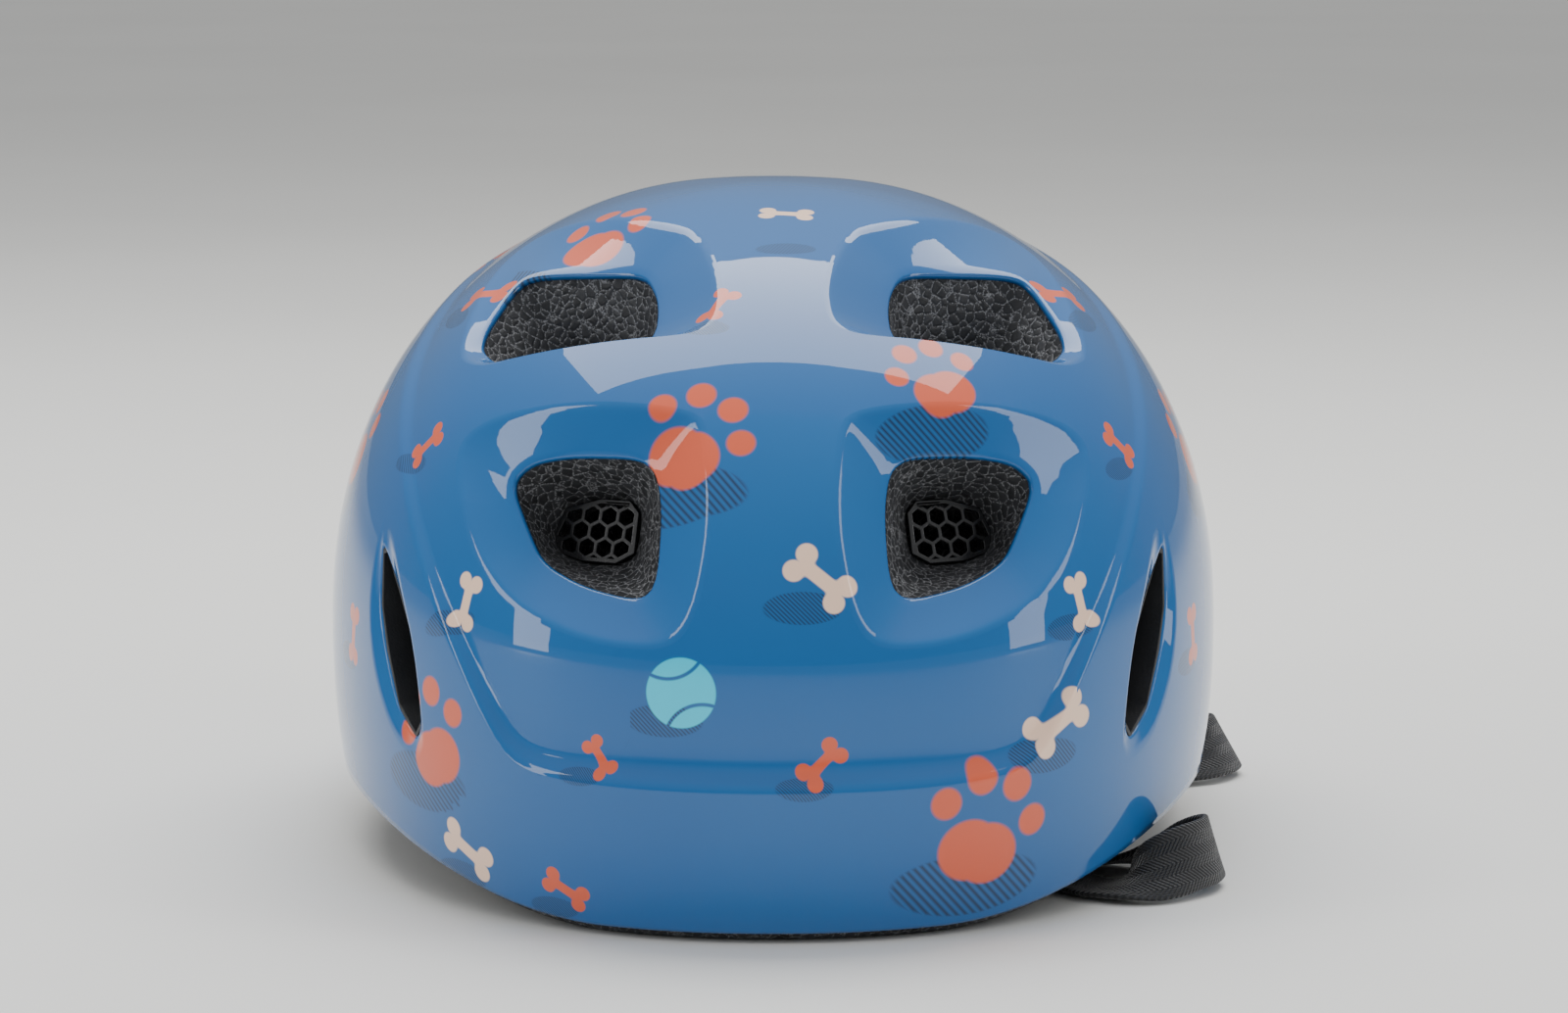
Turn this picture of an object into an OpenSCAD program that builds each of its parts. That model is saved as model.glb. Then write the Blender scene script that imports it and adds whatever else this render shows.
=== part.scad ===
// Child's cycling helmet: moulded foam liner under a thin shell, with a
// dial-tightened fit ring, side straps and a side-release buckle (open).
// Millimetres. +Z up, the front faces -Y, the origin is the middle of the
// head opening on the surface that the helmet stands on.

/* [Outer form] */
// Half of the overall width
half_w = 103; // [90:0.5:120]
// Length from the form's centre to the front
len_front = 133; // [115:0.5:150]
// Length from the form's centre to the rear
len_rear = 123; // [105:0.5:145]
// Height of the widest line above the ground
waist_z = 50; // [38:0.5:62]
// Rise of the crown above the widest line
crown_rise = 103; // [85:0.5:120]
// Depth of the curve that tucks in below the widest line
tuck_depth = 122; // [90:1:160]
// Lift of the lower edge over the ears
ear_lift = 16; // [4:0.5:28]
// Depth of the crown's step behind the brow
brow_step = 4; // [1:0.25:7]

/* [Shell and liner] */
// Shell thickness
skin_t = 1; // [0.6:0.1:2]
// Gap drawn between shell and liner
skin_gap = 0.2; // [0.1:0.05:0.5]
// Height of the shell's lower edge above the liner's
skin_lift = 2.5; // [1:0.25:6]
// Half width of the head hollow
cav_w = 79; // [68:0.5:90]
// Half length of the head hollow
cav_l = 98; // [84:0.5:112]
// Rise of the hollow above the widest line
cav_rise = 74; // [60:0.5:90]

/* [Vents] */
// Depth of the front dish at its hole
front_dish = 8; // [4:0.5:12]
// Depth of the top dish at its hole
top_dish = 9; // [4:0.5:12]
// Depth of the rear dishes at their holes
rear_dish = 6; // [3:0.5:10]
// Depth of the side slot
slot_depth = 11; // [6:0.5:16]
// Width of one hexagon of the net, flat to flat
net_cell = 4.2; // [3:0.1:7]
// Thickness of the net
net_t = 1; // [0.6:0.1:2]

/* [Pads] */
// Pad thickness
pad_t = 5.5; // [3:0.25:9]
// Hook tab thickness
tab_t = 0.9; // [0.6:0.1:1.5]

/* [Fit ring] */
// Gap between the belts' middle and the hollow at the temples
belt_gap = 3.7; // [3.6:0.1:9]
// Gap between the belts' middle and the hollow at the rear
belt_back = 11.4; // [11.2:0.1:18]
// Belt thickness
belt_t = 1.6; // [1.2:0.1:2.2]
// Belt width at the temples
belt_w = 14; // [10:0.5:16]
// Height of the dial's axis above the ground
dial_z = 15; // [14.5:0.25:18]
// Dial radius
dial_r = 12.5; // [11:0.25:13.5]
// Dial depth
dial_l = 12; // [8:0.5:15]
// Pinion teeth
pinion_n = 10; // [8:2:12]
// Tooth module
tooth_m = 1; // [0.9:0.05:1.1]
// Upward travel of the rear cradle
cradle_travel = 7; // [3:0.5:9]
// Dial turn, degrees
dial_turn = 270; // [180:10:300]

/* [Straps] */
// Webbing width
web_w = 15; // [12:0.5:18]
// Webbing thickness
web_t = 1.4; // [1:0.1:2]
// Buckle width
buckle_w = 25; // [22:0.5:30]
// Buckle thickness
buckle_t = 8; // [7:0.25:10]

/* [Hidden] */
clr = 0.3;                                  // clearance between pieces
fit = 0.2;                                  // gap at a seated face
run = 0.08;                                 // radial running clearance
form_y = (len_rear - len_front) / -2;       // the form's centre in Y
pe = 2.15;                                  // plan exponent
ne = 2.2;                                   // section exponent
nth = 48;                                   // columns of the form
nlo = 10;                                   // rows below the crease
low_row = 4;                                // height of the first full row above the edge
nch = 72;                                   // columns of the hollow
seat = 0.35;                                // gap to the hollow's wall
nup = 9;                                    // rows above it
cav_y = 3;                                  // the hollow's centre in Y
cav_tuck = 158;                             // lower curve of the hollow
black = "#1b1c1e";
blue = "#2f76ac";
foam = "#222326";
webc = "#17181a";

// ---- form functions -------------------------------------------------
function sp(v, e) = sign(v) * pow(abs(v), e);
function ss(t) = let (u = min(1, max(0, t))) u * u * (3 - 2 * u);
function fold(th) = abs(th > 180 ? th - 360 : th);
function rim(th) = let (a = fold(th)) ear_lift * ss((a - 20) / 55) * (1 - ss((a - 105) / 40));
function crease(th) = let (a = fold(th), t = a - 32, m = (t + sqrt(t * t + 9)) / 2)
    waist_z - 16 + (crown_rise + 7) * (1 - exp(-m / 34));
function step_in(th) = let (a = fold(th))
    (0.3 * brow_step + 0.7 * brow_step * (1 - ss((a - 10) / 50))) * (1 - ss((a - 90) / 40));
function lenf(th) = (len_front + len_rear) / 2 + (len_front - len_rear) / 2 * cos(th);
function beta(z, up, lo) = z >= waist_z ? asin(pow(min(1, (z - waist_z) / up), ne / 2))
    : -asin(pow(min(1, (waist_z - z) / lo), ne / 2));
// a point of the outer form: angle from the front, elevation angle, inward offset
function form(th, b, o) = let (
    up = crown_rise - o, lo = tuck_depth - o,
    z = waist_z + (b > 0 ? up : lo) * sp(sin(b), 2 / ne),
    d = o + step_in(th) * ss((z - crease(th)) / 5.4),
    r = pow(max(0, cos(b)), 2 / ne),
    zz = z > waist_z ? waist_z + (z - waist_z) * (up + o - d) / up : z)
    [(half_w - d) * r * sp(sin(th), 2 / pe), form_y - (lenf(th) - d) * r * sp(cos(th), 2 / pe), zz];
function fz(th, z, o = 0) = form(th, beta(z, crown_rise - o, tuck_depth - o), o);
// a point of the head hollow at a height, moved inward by o
function wall(th, z, o) = let (r = pow(1 - pow(abs(z - waist_z) / (z > waist_z ? cav_rise : cav_tuck), ne), 1 / ne))
    [(cav_w * r - o) * sp(sin(th), 2 / pe), cav_y - (cav_l * r - o) * sp(cos(th), 2 / pe), z];
// a point of the hollow's roof over x, y, moved down by o
function roof(x, y, o) = let (q = pow(abs(x) / cav_w, pe) + pow(abs(y - cav_y) / cav_l, pe))
    [x, y, waist_z + cav_rise * pow(max(0, 1 - pow(q, ne / pe)), 1 / ne) - o];
function unit(v) = v / norm(v);
function out_n(th, z) = unit(cross(fz(th + 1, z) - fz(th - 1, z), fz(th, z + 1) - fz(th, z - 1)));

// closed solid from rings of equal count, with fan ends
module rings(R, m) {
    n = len(R);
    pts = [for (r = R) for (p = r) p];
    polyhedron(pts, concat(
        [for (i = [0:n - 2]) for (j = [0:m - 1]) let (k = (j + 1) % m) each
            [[i * m + j, (i + 1) * m + j, i * m + k], [i * m + k, (i + 1) * m + j, (i + 1) * m + k]]],
        [[for (j = [0:m - 1]) j]], [[for (j = [m - 1:-1:0]) (n - 1) * m + j]]), convexity = 8);
}
// closed dome: rows of columns, a pole on top and a point below
module dome(rows, top, low) {
    n = len(rows); m = len(rows[0]);
    pts = concat([for (r = rows) for (p = r) p], [top, low]);
    polyhedron(pts, concat(
        [for (i = [0:n - 2]) for (j = [0:m - 1]) let (k = (j + 1) % m, a = i * m, b = (i + 1) * m) each
            [[a + j, b + j, a + k], [a + k, b + j, b + k]]],
        [for (j = [0:m - 1]) [(n - 1) * m + j, n * m, (n - 1) * m + (j + 1) % m]],
        [for (j = [0:m - 1]) [j, (j + 1) % m, n * m + 1]]), convexity = 8);
}
module outer_form(o, lift) {
    rows = [for (i = [0:nlo + nup - 1]) [for (j = [0:nth - 1]) let (
        th = 360 * j / nth,
        b0 = beta(rim(th) + lift, crown_rise - o, tuck_depth - o),
        b1 = beta(rim(th) + low_row, crown_rise - o, tuck_depth - o),
        bc = beta(crease(th), crown_rise - o, tuck_depth - o),
        bd = beta(min(crease(th) + 5.4, waist_z + crown_rise - 4), crown_rise - o, tuck_depth - o),
        b = i == 0 ? b0 : i <= nlo ? b1 + (bc - b1) * (i - 1) / (nlo - 1) : bd + (90 - bd) * (i - nlo - 1) / nup)
        form(th, b, o)]];
    dome(rows, [0, form_y, waist_z + crown_rise - o], [0, form_y, lift]);
}
module hollow() {
    nb = 18;
    rows = [for (i = [0:nb]) [for (j = [0:nch - 1]) let (th = 360 * j / nch,
        b0 = -asin(pow((waist_z + 6) / cav_tuck, ne / 2)), b = b0 + (90 - b0) * i / (nb + 1),
        r = pow(cos(b), 2 / ne))
        [cav_w * r * sp(sin(th), 2 / pe), cav_y - cav_l * r * sp(cos(th), 2 / pe),
            waist_z + (b > 0 ? cav_rise : cav_tuck) * sp(sin(b), 2 / ne)]]];
    dome(rows, [0, cav_y, waist_z + cav_rise], [0, cav_y, -6]);
}

// ---- vents ------------------------------------------------------------
// each: angle, height, curvature radii, dish outline, dish depth, hole, inner hole, inner depth
front_vent = [-21.8, waist_z + 38.4, 100, 82,
    [[-44, 18], [-37, 25.5], [-12, 30], [12, 30], [19, 27], [25.5, 5], [25, -14], [20, -23.5], [2, -24], [-18, -18], [-32, -6]],
    front_dish, [[-27, 11], [-23, 16], [-13, 18.5], [3, 19], [8, 16], [11, 7], [12.5, -9], [9, -13], [-5, -11], [-16, -6.5], [-21, 0.5]],
    [[-22, 4], [-20, 10], [-12, 12.5], [-5, 12.5], [-2.5, 10], [-2, 1], [-6, -1.5], [-14, -1.5], [-20, 0]], 25];
top_vent = [-33.5, waist_z + 82.2, 105, 90,
    [[-53, 34], [-48, 46], [-7, 39], [6, 34.5], [22.5, 15.5], [28.5, 3.5], [26, -4], [5, -11.7], [-11, -15.4], [-25, -17], [-38, -10]],
    top_dish, [[-37, 17], [-32, 20.5], [-9, 23.5], [-3, 22], [4, 14.5], [10, 3], [8, -7], [-9, -11.5], [-26, -12], [-35, -5]],
    [[-26, 9], [-22, 13], [-8, 13], [-3, 8], [-2, -3], [-12, -5], [-24, -5], [-27, 0]], 28];
side_slot = [-51.7, waist_z + 8.8, 110, 130,
    [[-17, 24], [-12, 25], [-2, 14], [8, 0], [12, -21], [7, -27], [-4, -22], [-13, -10], [-17.5, 5]],
    2.2, [[-14, 18.5], [-12.5, 19], [-4, 10], [5.5, -2], [9, -19], [6.5, -22], [-2.5, -17], [-10.5, -5], [-14, 5.5]], [], slot_depth];
rear_vent = [-148, waist_z + 51, 105, 90,
    [[-20, 20], [-12, 27], [10, 25], [19, 16], [20, -10], [14, -20], [-8, -22], [-18, -12]],
    rear_dish, [[-14, 14], [-9, 18], [7, 17], [13, 11], [13, -8], [9, -13], [-6, -14], [-13, -8]],
    [[-9, 8], [-5, 10], [5, 9], [8, 6], [8, -4], [5, -7], [-4, -8], [-8, -4]], 28];
low_vent = [-132, waist_z + 5, 110, 125,
    [[-12, 18], [-6, 24], [8, 22], [14, 12], [13, -12], [7, -20], [-5, -20], [-12, -12]],
    rear_dish, [[-7, 13], [-3, 17], [5, 15], [8, 8], [8, -9], [4, -14], [-3, -14], [-7, -8]],
    [[-4, 8], [-2, 10], [3, 9], [5, 5], [5, -5], [3, -8], [-2, -8], [-4, -5]], 26];
vents = [front_vent, top_vent, side_slot, rear_vent, low_vent];

module at_vent(v) {
    c = fz(v[0], v[1]); n = out_n(v[0], v[1]);
    u = unit([0, 0, 1] - n * n[2]); s = cross(u, n);
    multmatrix([[s[0], u[0], n[0], c[0]], [s[1], u[1], n[1], c[1]], [s[2], u[2], n[2], c[2]], [0, 0, 0, 1]]) children();
}
function mid(P) = let (k = len(P)) [for (a = [0:1]) [for (p = P) p[a]] * [for (p = P) 1] / k];
function grow(P, g) = let (m = mid(P)) [for (p = P) let (d = [p[0], p[1]] - m) [p[0], p[1]] + d / norm(d) * g];
function drop(v, p) = -(p[0] * p[0] / (2 * v[2]) + p[1] * p[1] / (2 * v[3]));
module points_hull(P) hull() polyhedron(P, [[for (i = [0:len(P) - 1]) i]]);
function slot_g(d) = -1.5 * (d + 3) / (slot_depth + 3);  // taper of the slot
module dish(v, g) at_vent(v) points_hull(concat(
    [for (p = grow(v[4], g)) [p[0], p[1], drop(v, p) - g * 0.3]], [for (p = grow(v[4], g)) [p[0], p[1], 20]],
    [for (p = grow(v[6], g)) [p[0], p[1], -v[5] - g]]));
module duct(v, g = 0) at_vent(v)
    if (len(v[7]) > 0) points_hull(concat([for (p = grow(v[6], g)) [p[0], p[1], -v[5] + 0.8]],
        [for (p = grow(v[6], g)) [p[0], p[1], -v[5] - 2.5]],
        [for (p = grow(v[7], g)) [p[0], p[1], -v[8]]], [for (p = grow(v[7], g)) [p[0], p[1], -v[8] - 22]]));
    else points_hull(concat([for (p = grow(v[6], g)) [p[0], p[1], 3]], [for (p = grow(v[6], g + slot_g(v[8]))) [p[0], p[1], -v[8]]]));
module both() { children(); mirror([1, 0, 0]) children(); }
// rear cut-out that leaves the dial free
module dial_port(g) hull() {
    translate([0, cav_l - 6, 0]) rotate([-90, 0, 0]) linear_extrude(1) port_2d(dial_r + 3.5 + g, dial_z + dial_r + cradle_travel + 2 + g);
    translate([0, len_rear + 12, 0]) rotate([-90, 0, 0]) linear_extrude(1) port_2d(dial_r + 11 + g, dial_z + dial_r + cradle_travel + 10 + g);
}
module port_2d(w, h) union() {
    translate([-w, -h + w]) square([2 * w, h - w + 12]);
    translate([0, -h + w]) circle(w, $fn = 32);
}

module outer_shell() color(blue) difference() {
    outer_form(0, skin_lift);
    difference() {
        outer_form(skin_t, skin_lift - 8);
        both() for (v = vents) dish(v, skin_t);
    }
    both() for (v = vents) dish(v, 0);
    both() for (v = vents) duct(v);
    dial_port(1);
}
module eps_liner() color(foam) difference() {
    outer_form(skin_t + skin_gap, 0);
    hollow();
    both() for (v = vents) dish(v, skin_t + skin_gap);
    both() for (v = vents) duct(v, v[7] == [] ? fit : 0);
    dial_port(0);
}

module net() at_vent(front_vent) translate([0, 0, -front_vent[8] + 0.6]) linear_extrude(net_t) difference() {
    m = mid(front_vent[7]);
    offset(delta = 0.05) polygon(front_vent[7]);
    intersection() {
        offset(delta = -1) polygon(front_vent[7]);
        for (i = [-4:4]) for (j = [-3:3])
            translate(m + [(i + (j % 2) * 0.5) * net_cell, j * net_cell * 0.866]) rotate(30) circle((net_cell - 0.9) / 1.732, $fn = 6);
    }
}
module net_left() color(black) net();
module net_right() color(black) mirror([1, 0, 0]) net();

// black trough that lines the side slot, with a raised rib up its middle
module trough() at_vent(side_slot) difference() {
    points_hull(concat([for (p = grow(side_slot[6], slot_g(2.4) - fit)) [p[0], p[1], -2.4]],
        [for (p = grow(side_slot[6], slot_g(slot_depth - fit) - fit)) [p[0], p[1], -slot_depth + fit]]));
    difference() {
        points_hull(concat([for (p = grow(side_slot[6], -1.7)) [p[0], p[1], -1]],
            [for (p = grow(side_slot[6], -3.4)) [p[0], p[1], -slot_depth + 1.8]]));
        for (i = [-2:2]) translate([-1.2 - i * 2.1, -2 + i * 6, -slot_depth]) rotate(28) cube([5, 1.2, 5.4], center = true);
    }
}
module slot_insert_left() color(black) trough();
module slot_insert_right() color(black) mirror([1, 0, 0]) trough();

// ---- pads -------------------------------------------------------------
// slab that follows the hollow between two angles and two heights
module wall_slab(a0, a1, z0, z1, o0, o1, na, nz = 3) rings([for (i = [0:na]) let (a = a0 + (a1 - a0) * i / na) concat(
    [for (j = [0:nz]) wall(a, z0 + (z1 - z0) * j / nz, o0)],
    [for (j = [nz:-1:0]) wall(a, z0 + (z1 - z0) * j / nz, o1)])], 2 * nz + 2);
// slab under the roof of the hollow
module roof_slab(x0, x1, y0, y1, o0, o1, ny, nx = 4) rings([for (i = [0:ny]) let (y = y0 + (y1 - y0) * i / ny) concat(
    [for (j = [0:nx]) roof(x0 + (x1 - x0) * j / nx, y, o1)],
    [for (j = [nx:-1:0]) roof(x0 + (x1 - x0) * j / nx, y, o0)])], 2 * nx + 2);
pad_o = seat + tab_t + fit;
pad_half = 12;                              // half width of the middle crown pad
wing_x = 26;                                // inner edge of a side crown pad
wing_w = 17;                                // its width
module crown_pad() color(black) roof_slab(-pad_half, pad_half, -42, 52, pad_o, pad_o + pad_t, 12);
module wing() roof_slab(wing_x, wing_x + wing_w, -28, 36, pad_o + 0.3, pad_o + pad_t, 10);
module crown_pad_left() color(black) mirror([1, 0, 0]) wing();
module crown_pad_right() color(black) wing();
module temple() wall_slab(70, 96, 52, 78, pad_o, pad_o + pad_t - 1, 8);
module side_pad_left() color(black) mirror([1, 0, 0]) temple();
module side_pad_right() color(black) temple();
module hook_tabs() color("#26272a") union() {
    for (y = [-30, 4, 40]) roof_slab(-7, 7, y - 7, y + 7, seat, seat + tab_t, 3);
    for (m = [0, 1]) mirror([m, 0, 0]) {
        for (y = [-16, 24]) roof_slab(wing_x + 3, wing_x + wing_w - 3, y - 6, y + 6, seat + 0.25, seat + 0.15 + tab_t, 3);
        wall_slab(78, 88, 60, 70, seat + 0.15, seat + 0.1 + tab_t, 3);
    }
}

// ---- fit ring -----------------------------------------------------------
ring_z = 10;                                // lower edge of the front band
ring_h = 14;                                // its height
ring_o = 1;                                 // its stand-off from the liner
ring_t = 1.4;                               // its thickness
ring_end = 91;                              // where it ends, degrees from the front
ring_in = web_t + 0.4;                      // extra stand-off where webbing passes behind it
function ring_off(a) = ring_o + ring_in * (1 - ss((abs(a) - 66) / 10));
belt_r = wall(90, dial_z, 0)[0] - belt_gap; // radius of the belts' middle
belt_y = wall(180, dial_z, 0)[1] - belt_back - belt_r; // the belts' centre in Y
rack_h = 3.8;                               // height of a toothed bar's back
add = 0.8 * tooth_m;                        // tooth height above the pitch line
ded = 1.1 * tooth_m;                        // and below it
pitch_r = pinion_n * tooth_m / 2;
mesh_gap = 0.1;                             // extra spacing of the racks
belt_end = 110;                             // the belts' front ends
lap = 7;                                    // a rack passes the middle by this angle
port_a = 26;                                // half angle of the housing
belt_turn = dial_turn * pitch_r / belt_r;   // the belts' travel, degrees
neck = port_a + belt_turn + 2.5;            // where a rack widens into its belt
tooth_a = PI * tooth_m / belt_r * 180 / PI; // angle of one tooth
cha = 2 * (pitch_r + mesh_gap + ded + rack_h + clr + 0.1); // height inside the housing
plate_t = 2;                                // housing wall
gap_r = 0.35;                               // belt to housing, each side
module ring_band() color("#232427") rings([for (i = [0:52]) let (a = ring_end * (i / 26 - 1), o = ring_off(a))
    [wall(a, ring_z, o), wall(a, ring_z + ring_h, o), wall(a, ring_z + ring_h, o + ring_t), wall(a, ring_z, o + ring_t)]], 4);
module ring_clips() color(black) for (a = [-84, -30, 30, 84])
    wall_slab(a - 3, a + 3, ring_z + 3, ring_z + ring_h - 3, seat, ring_off(a) - 0.15, 2, 1);
module brow_pad() color(black) wall_slab(-44, 44, ring_z - 2, ring_z + ring_h + 2, ring_off(0) + ring_t + fit, ring_off(0) + ring_t + fit + pad_t - 1, 24, 3);
// arc of rectangular section about the belts' axis, angles from the rear
module arc(r0, r1, z0, z1, a0, a1) translate([0, belt_y, 0]) rotate(90 + a0) rotate_extrude(angle = a1 - a0, $fn = 180)
    translate([r0, z0]) square([r1 - r0, z1 - z0]);
module rack_tooth(a, s) translate([0, belt_y, dial_z]) rotate(a) translate([0, belt_r - belt_t / 2 + 0.1, 0]) rotate([-90, 0, 0]) hull() linear_extrude(belt_t - 0.2)
    polygon([for (p = [[-0.38, -add], [0.38, -add], [1.02, ded + 0.3], [-1.02, ded + 0.3]]) [p[0] * tooth_m, -s * (pitch_r + mesh_gap + p[1])]]);
// the left belt: toothed bar above the pinion; angles grow towards -X
module belt(s) {
    r0 = belt_r - belt_t / 2; r1 = belt_r + belt_t / 2;
    za = dial_z + s * (pitch_r + mesh_gap + ded); zb = za + s * rack_h;
    union() {
        arc(r0, r1, min(za, zb), max(za, zb), -lap, neck + 1);
        arc(r0, r1, dial_z - belt_w / 2, dial_z + belt_w / 2, neck, belt_end);
        arc(r0, r1, min(zb, dial_z), max(zb, dial_z), neck, neck + 3);
        for (k = [ceil((1 - lap) / tooth_a - 0.5):floor((neck - 3) / tooth_a - 0.5)]) rack_tooth((k + 0.5) * tooth_a, s);
    }
}
module belt_left() color("#2a2b2e") belt(1);
module belt_right() color("#2a2b2e") mirror([1, 0, 0]) belt(-1);
// loop that holds a belt's front end and lets it rise
guide_y = belt_y - 1;
guide_z0 = dial_z - belt_w / 2 - 1;
guide_z1 = dial_z + belt_w / 2 + cradle_travel + 1;
module guide() {
    xi = belt_r - belt_t / 2 - gap_r - 0.5; xo = belt_r + belt_t / 2 + gap_r;
    difference() {
        translate([xi - 1.4, guide_y, guide_z0 - 1.6]) cube([xo - xi + 2.6, 6, guide_z1 - guide_z0 + 3.2]);
        translate([xi, guide_y - 1, guide_z0]) cube([xo - xi, 8, guide_z1 - guide_z0]);
    }
    translate([xo + 1, guide_y + 1, guide_z0 + 6]) cube([0.6, 4, 8]);
}
module belt_guide_left() color(black) mirror([1, 0, 0]) guide();
module belt_guide_right() color(black) guide();

hz0 = dial_z - cha / 2; hz1 = dial_z + cha / 2;
ri = belt_r - belt_t / 2 - gap_r; ro = belt_r + belt_t / 2 + gap_r;
dial_y0 = belt_y + ro + plate_t;            // outer face of the housing at the middle
shaft_r = 2.2;
tongue_w = 14; tongue_t = 2;
tongue_y = belt_y + ro;
rail_z0 = dial_z + dial_r + cradle_travel + 5;
rail_z1 = rail_z0 + 18;
module cradle_shell() color("#242528") difference() {
    union() {
        arc(ro, ro + plate_t, hz0 - 1.6, hz1 + 1.6, -port_a, port_a);
        arc(ri, ro + 0.1, hz1, hz1 + 1.6, -port_a, port_a);
        arc(ri, ro + 0.1, hz0 - 1.6, hz0, -port_a, port_a);
        translate([-tongue_w / 2, tongue_y, hz1]) cube([tongue_w, tongue_t, rail_z1 - hz1 - cradle_travel + 4]);
    }
    translate([0, belt_y, dial_z]) rotate([-90, 0, 0]) cylinder(h = belt_r + 20, r = shaft_r + run, $fn = 48);
}
module cradle_cover() color("#2a2b2e") arc(ri - 1.6, ri - 0.05, hz0 - 1.6, hz1 + 1.6, -port_a, port_a);
module cradle_pad() color(black) arc(ri - 1.6 - fit - 4.5, ri - 1.6 - fit, hz0, hz1, -port_a + 4, port_a - 4);
module cradle_rail() color(black) {
    yb = cav_y + cav_l - 1.4; y0 = tongue_y + tongue_t + clr; hw = tongue_w / 2 + clr;
    difference() {
        translate([-hw - 3.4, tongue_y - clr - 1.5, rail_z0]) cube([2 * hw + 6.8, yb - tongue_y + clr + 1.5, rail_z1 - rail_z0]);
        translate([-hw, tongue_y - clr, rail_z0 - 1]) cube([2 * hw, tongue_t + 2 * clr, rail_z1 - rail_z0 + 2]);
        translate([-hw + 3, tongue_y - clr - 3, rail_z0 - 1]) cube([2 * hw - 6, 4, rail_z1 - rail_z0 + 2]);
    }
}
module dial_knob() color("#202124") difference() {
    union() {
        translate([0, dial_y0 + clr, dial_z]) rotate([-90, 0, 0]) linear_extrude(dial_l) difference() {
            circle(dial_r, $fn = 96);
            for (k = [0:17]) rotate(k * 20) translate([dial_r + 0.7, 0]) circle(1.4, $fn = 24);
        }
        translate([0, belt_y + ri + 0.25, dial_z]) rotate([-90, 0, 0]) cylinder(h = dial_y0 + clr + 0.5 - belt_y - ri - 0.25, r = shaft_r, $fn = 48);
    }
    translate([0, dial_y0 + clr + dial_l - 2, dial_z]) rotate([-90, 0, 0]) cylinder(h = 4, r = dial_r - 4, $fn = 64);
}
module dial_pinion() color("#3a3b3f") translate([0, belt_y + belt_r - 0.7, dial_z]) rotate([-90, 0, 0]) linear_extrude(1.4) difference() {
    polygon([for (k = [0:pinion_n - 1]) let (a = 90 + k * 360 / pinion_n) for (p = [[-ded, -1.3], [-ded, -0.9], [0, -0.6], [add, -0.3], [add, 0.3], [0, 0.6], [-ded, 0.9], [-ded, 1.15]])
        let (r = pitch_r + p[0] * tooth_m, w = p[1] * tooth_m) [r * cos(a) - w * sin(a), r * sin(a) + w * cos(a)]]);
    circle(shaft_r + 0.02, $fn = 48);
}

// ---- straps -------------------------------------------------------------
// smooth path through hand-set points
function cr(P, i, t) = let (n = len(P) - 1, a = P[max(0, i - 1)], b = P[i], c = P[min(n, i + 1)], d = P[min(n, i + 2)])
    0.5 * (2 * b + (c - a) * t + (2 * a - 5 * b + 4 * c - d) * t * t + (3 * b - a - 3 * c + d) * t * t * t);
function path(P, k) = [for (i = [0:len(P) - 2]) for (j = [0:k - 1]) cr(P, i, j / k), P[len(P) - 1]];
// flat webbing: points Q and width directions U
module webbing(Q, U, k = 4, w = web_w, t = web_t) {
    p = path(Q, k); u0 = path(U, k); n = len(p) - 1;
    rings([for (i = [0:n]) let (
        tg = unit(p[min(n, i + 1)] - p[max(0, i - 1)]), u = unit(u0[i] - tg * (u0[i] * tg)), m = cross(tg, u))
        [p[i] - u * w / 2 - m * t / 2, p[i] + u * w / 2 - m * t / 2, p[i] + u * w / 2 + m * t / 2, p[i] - u * w / 2 + m * t / 2]], 4);
}
lie = web_t / 2 + 0.4;                      // height of webbing that lies flat
an_z = 38;                                  // lower edge of a strap anchor
an_h = 12;                                  // its height
an_front = 52; an_rear = 118;               // the anchors' angles from the front
web_o = 0.85 + web_t / 2;                    // webbing's distance from the liner
function along(a) = unit(wall(a + 1, 20, 0) - wall(a - 1, 20, 0));
div_x = 45; div_y = -8; div_l = 30; div_w = web_w + 7; div_t = 4.2;
module anchor(a) {
    s = 180 / PI * (web_w / 2 + 5.3) / cav_w;
    rings([for (q = [[-s, 0], [1.8 - s, 0], [2 - s, 1], [-3, 1], [3, 1], [s - 2, 1], [s - 1.8, 0], [s, 0]]) let (
        o0 = q[1] * (web_o + web_t / 2 + 0.3) + (1 - q[1]) * seat, o1 = web_o + web_t / 2 + 1.9)
        [wall(a + q[0], an_z, o0), wall(a + q[0], an_z + an_h / 2, o0), wall(a + q[0], an_z + an_h, o0),
            wall(a + q[0], an_z + an_h, o1), wall(a + q[0], an_z + an_h / 2, o1), wall(a + q[0], an_z, o1)]], 6);
}
module anchor_front_left() color(black) mirror([1, 0, 0]) anchor(an_front);
module anchor_front_right() color(black) anchor(an_front);
module anchor_rear_left() color(black) mirror([1, 0, 0]) anchor(an_rear);
module anchor_rear_right() color(black) anchor(an_rear);
function down(a) = [wall(a, an_z + 9, web_o), wall(a, an_z - 6, web_o), wall(a, 22, web_o)];
fd = down(an_front); rd = down(an_rear); fa = along(an_front); ra = along(an_rear);
module front_plain() webbing(concat(fd, [wall(an_front, 13, web_o), wall(an_front, 6.5, web_o + 0.8), [cav_w - 22, -47, lie + 0.4], [49.5, -36, lie], [div_x, div_y - div_l / 2 + 1, lie + 0.3]]),
    concat([fa, fa, fa, fa], [fa, [0.88, 0.48, 0], [0.9, 0.43, 0], [0.95, 0.3, 0]]));
module rear_plain() webbing(concat(rd, [wall(an_rear, 6, web_o + 1), [cav_w - 19, 38, lie + 0.3], [49, 22, lie], [div_x, div_y + div_l / 2 - 1, lie + 0.3]]),
    concat([ra, ra, ra], [ra, [-0.81, 0.58, 0], [-0.9, 0.42, 0], [-0.97, 0.24, 0]]));
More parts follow.
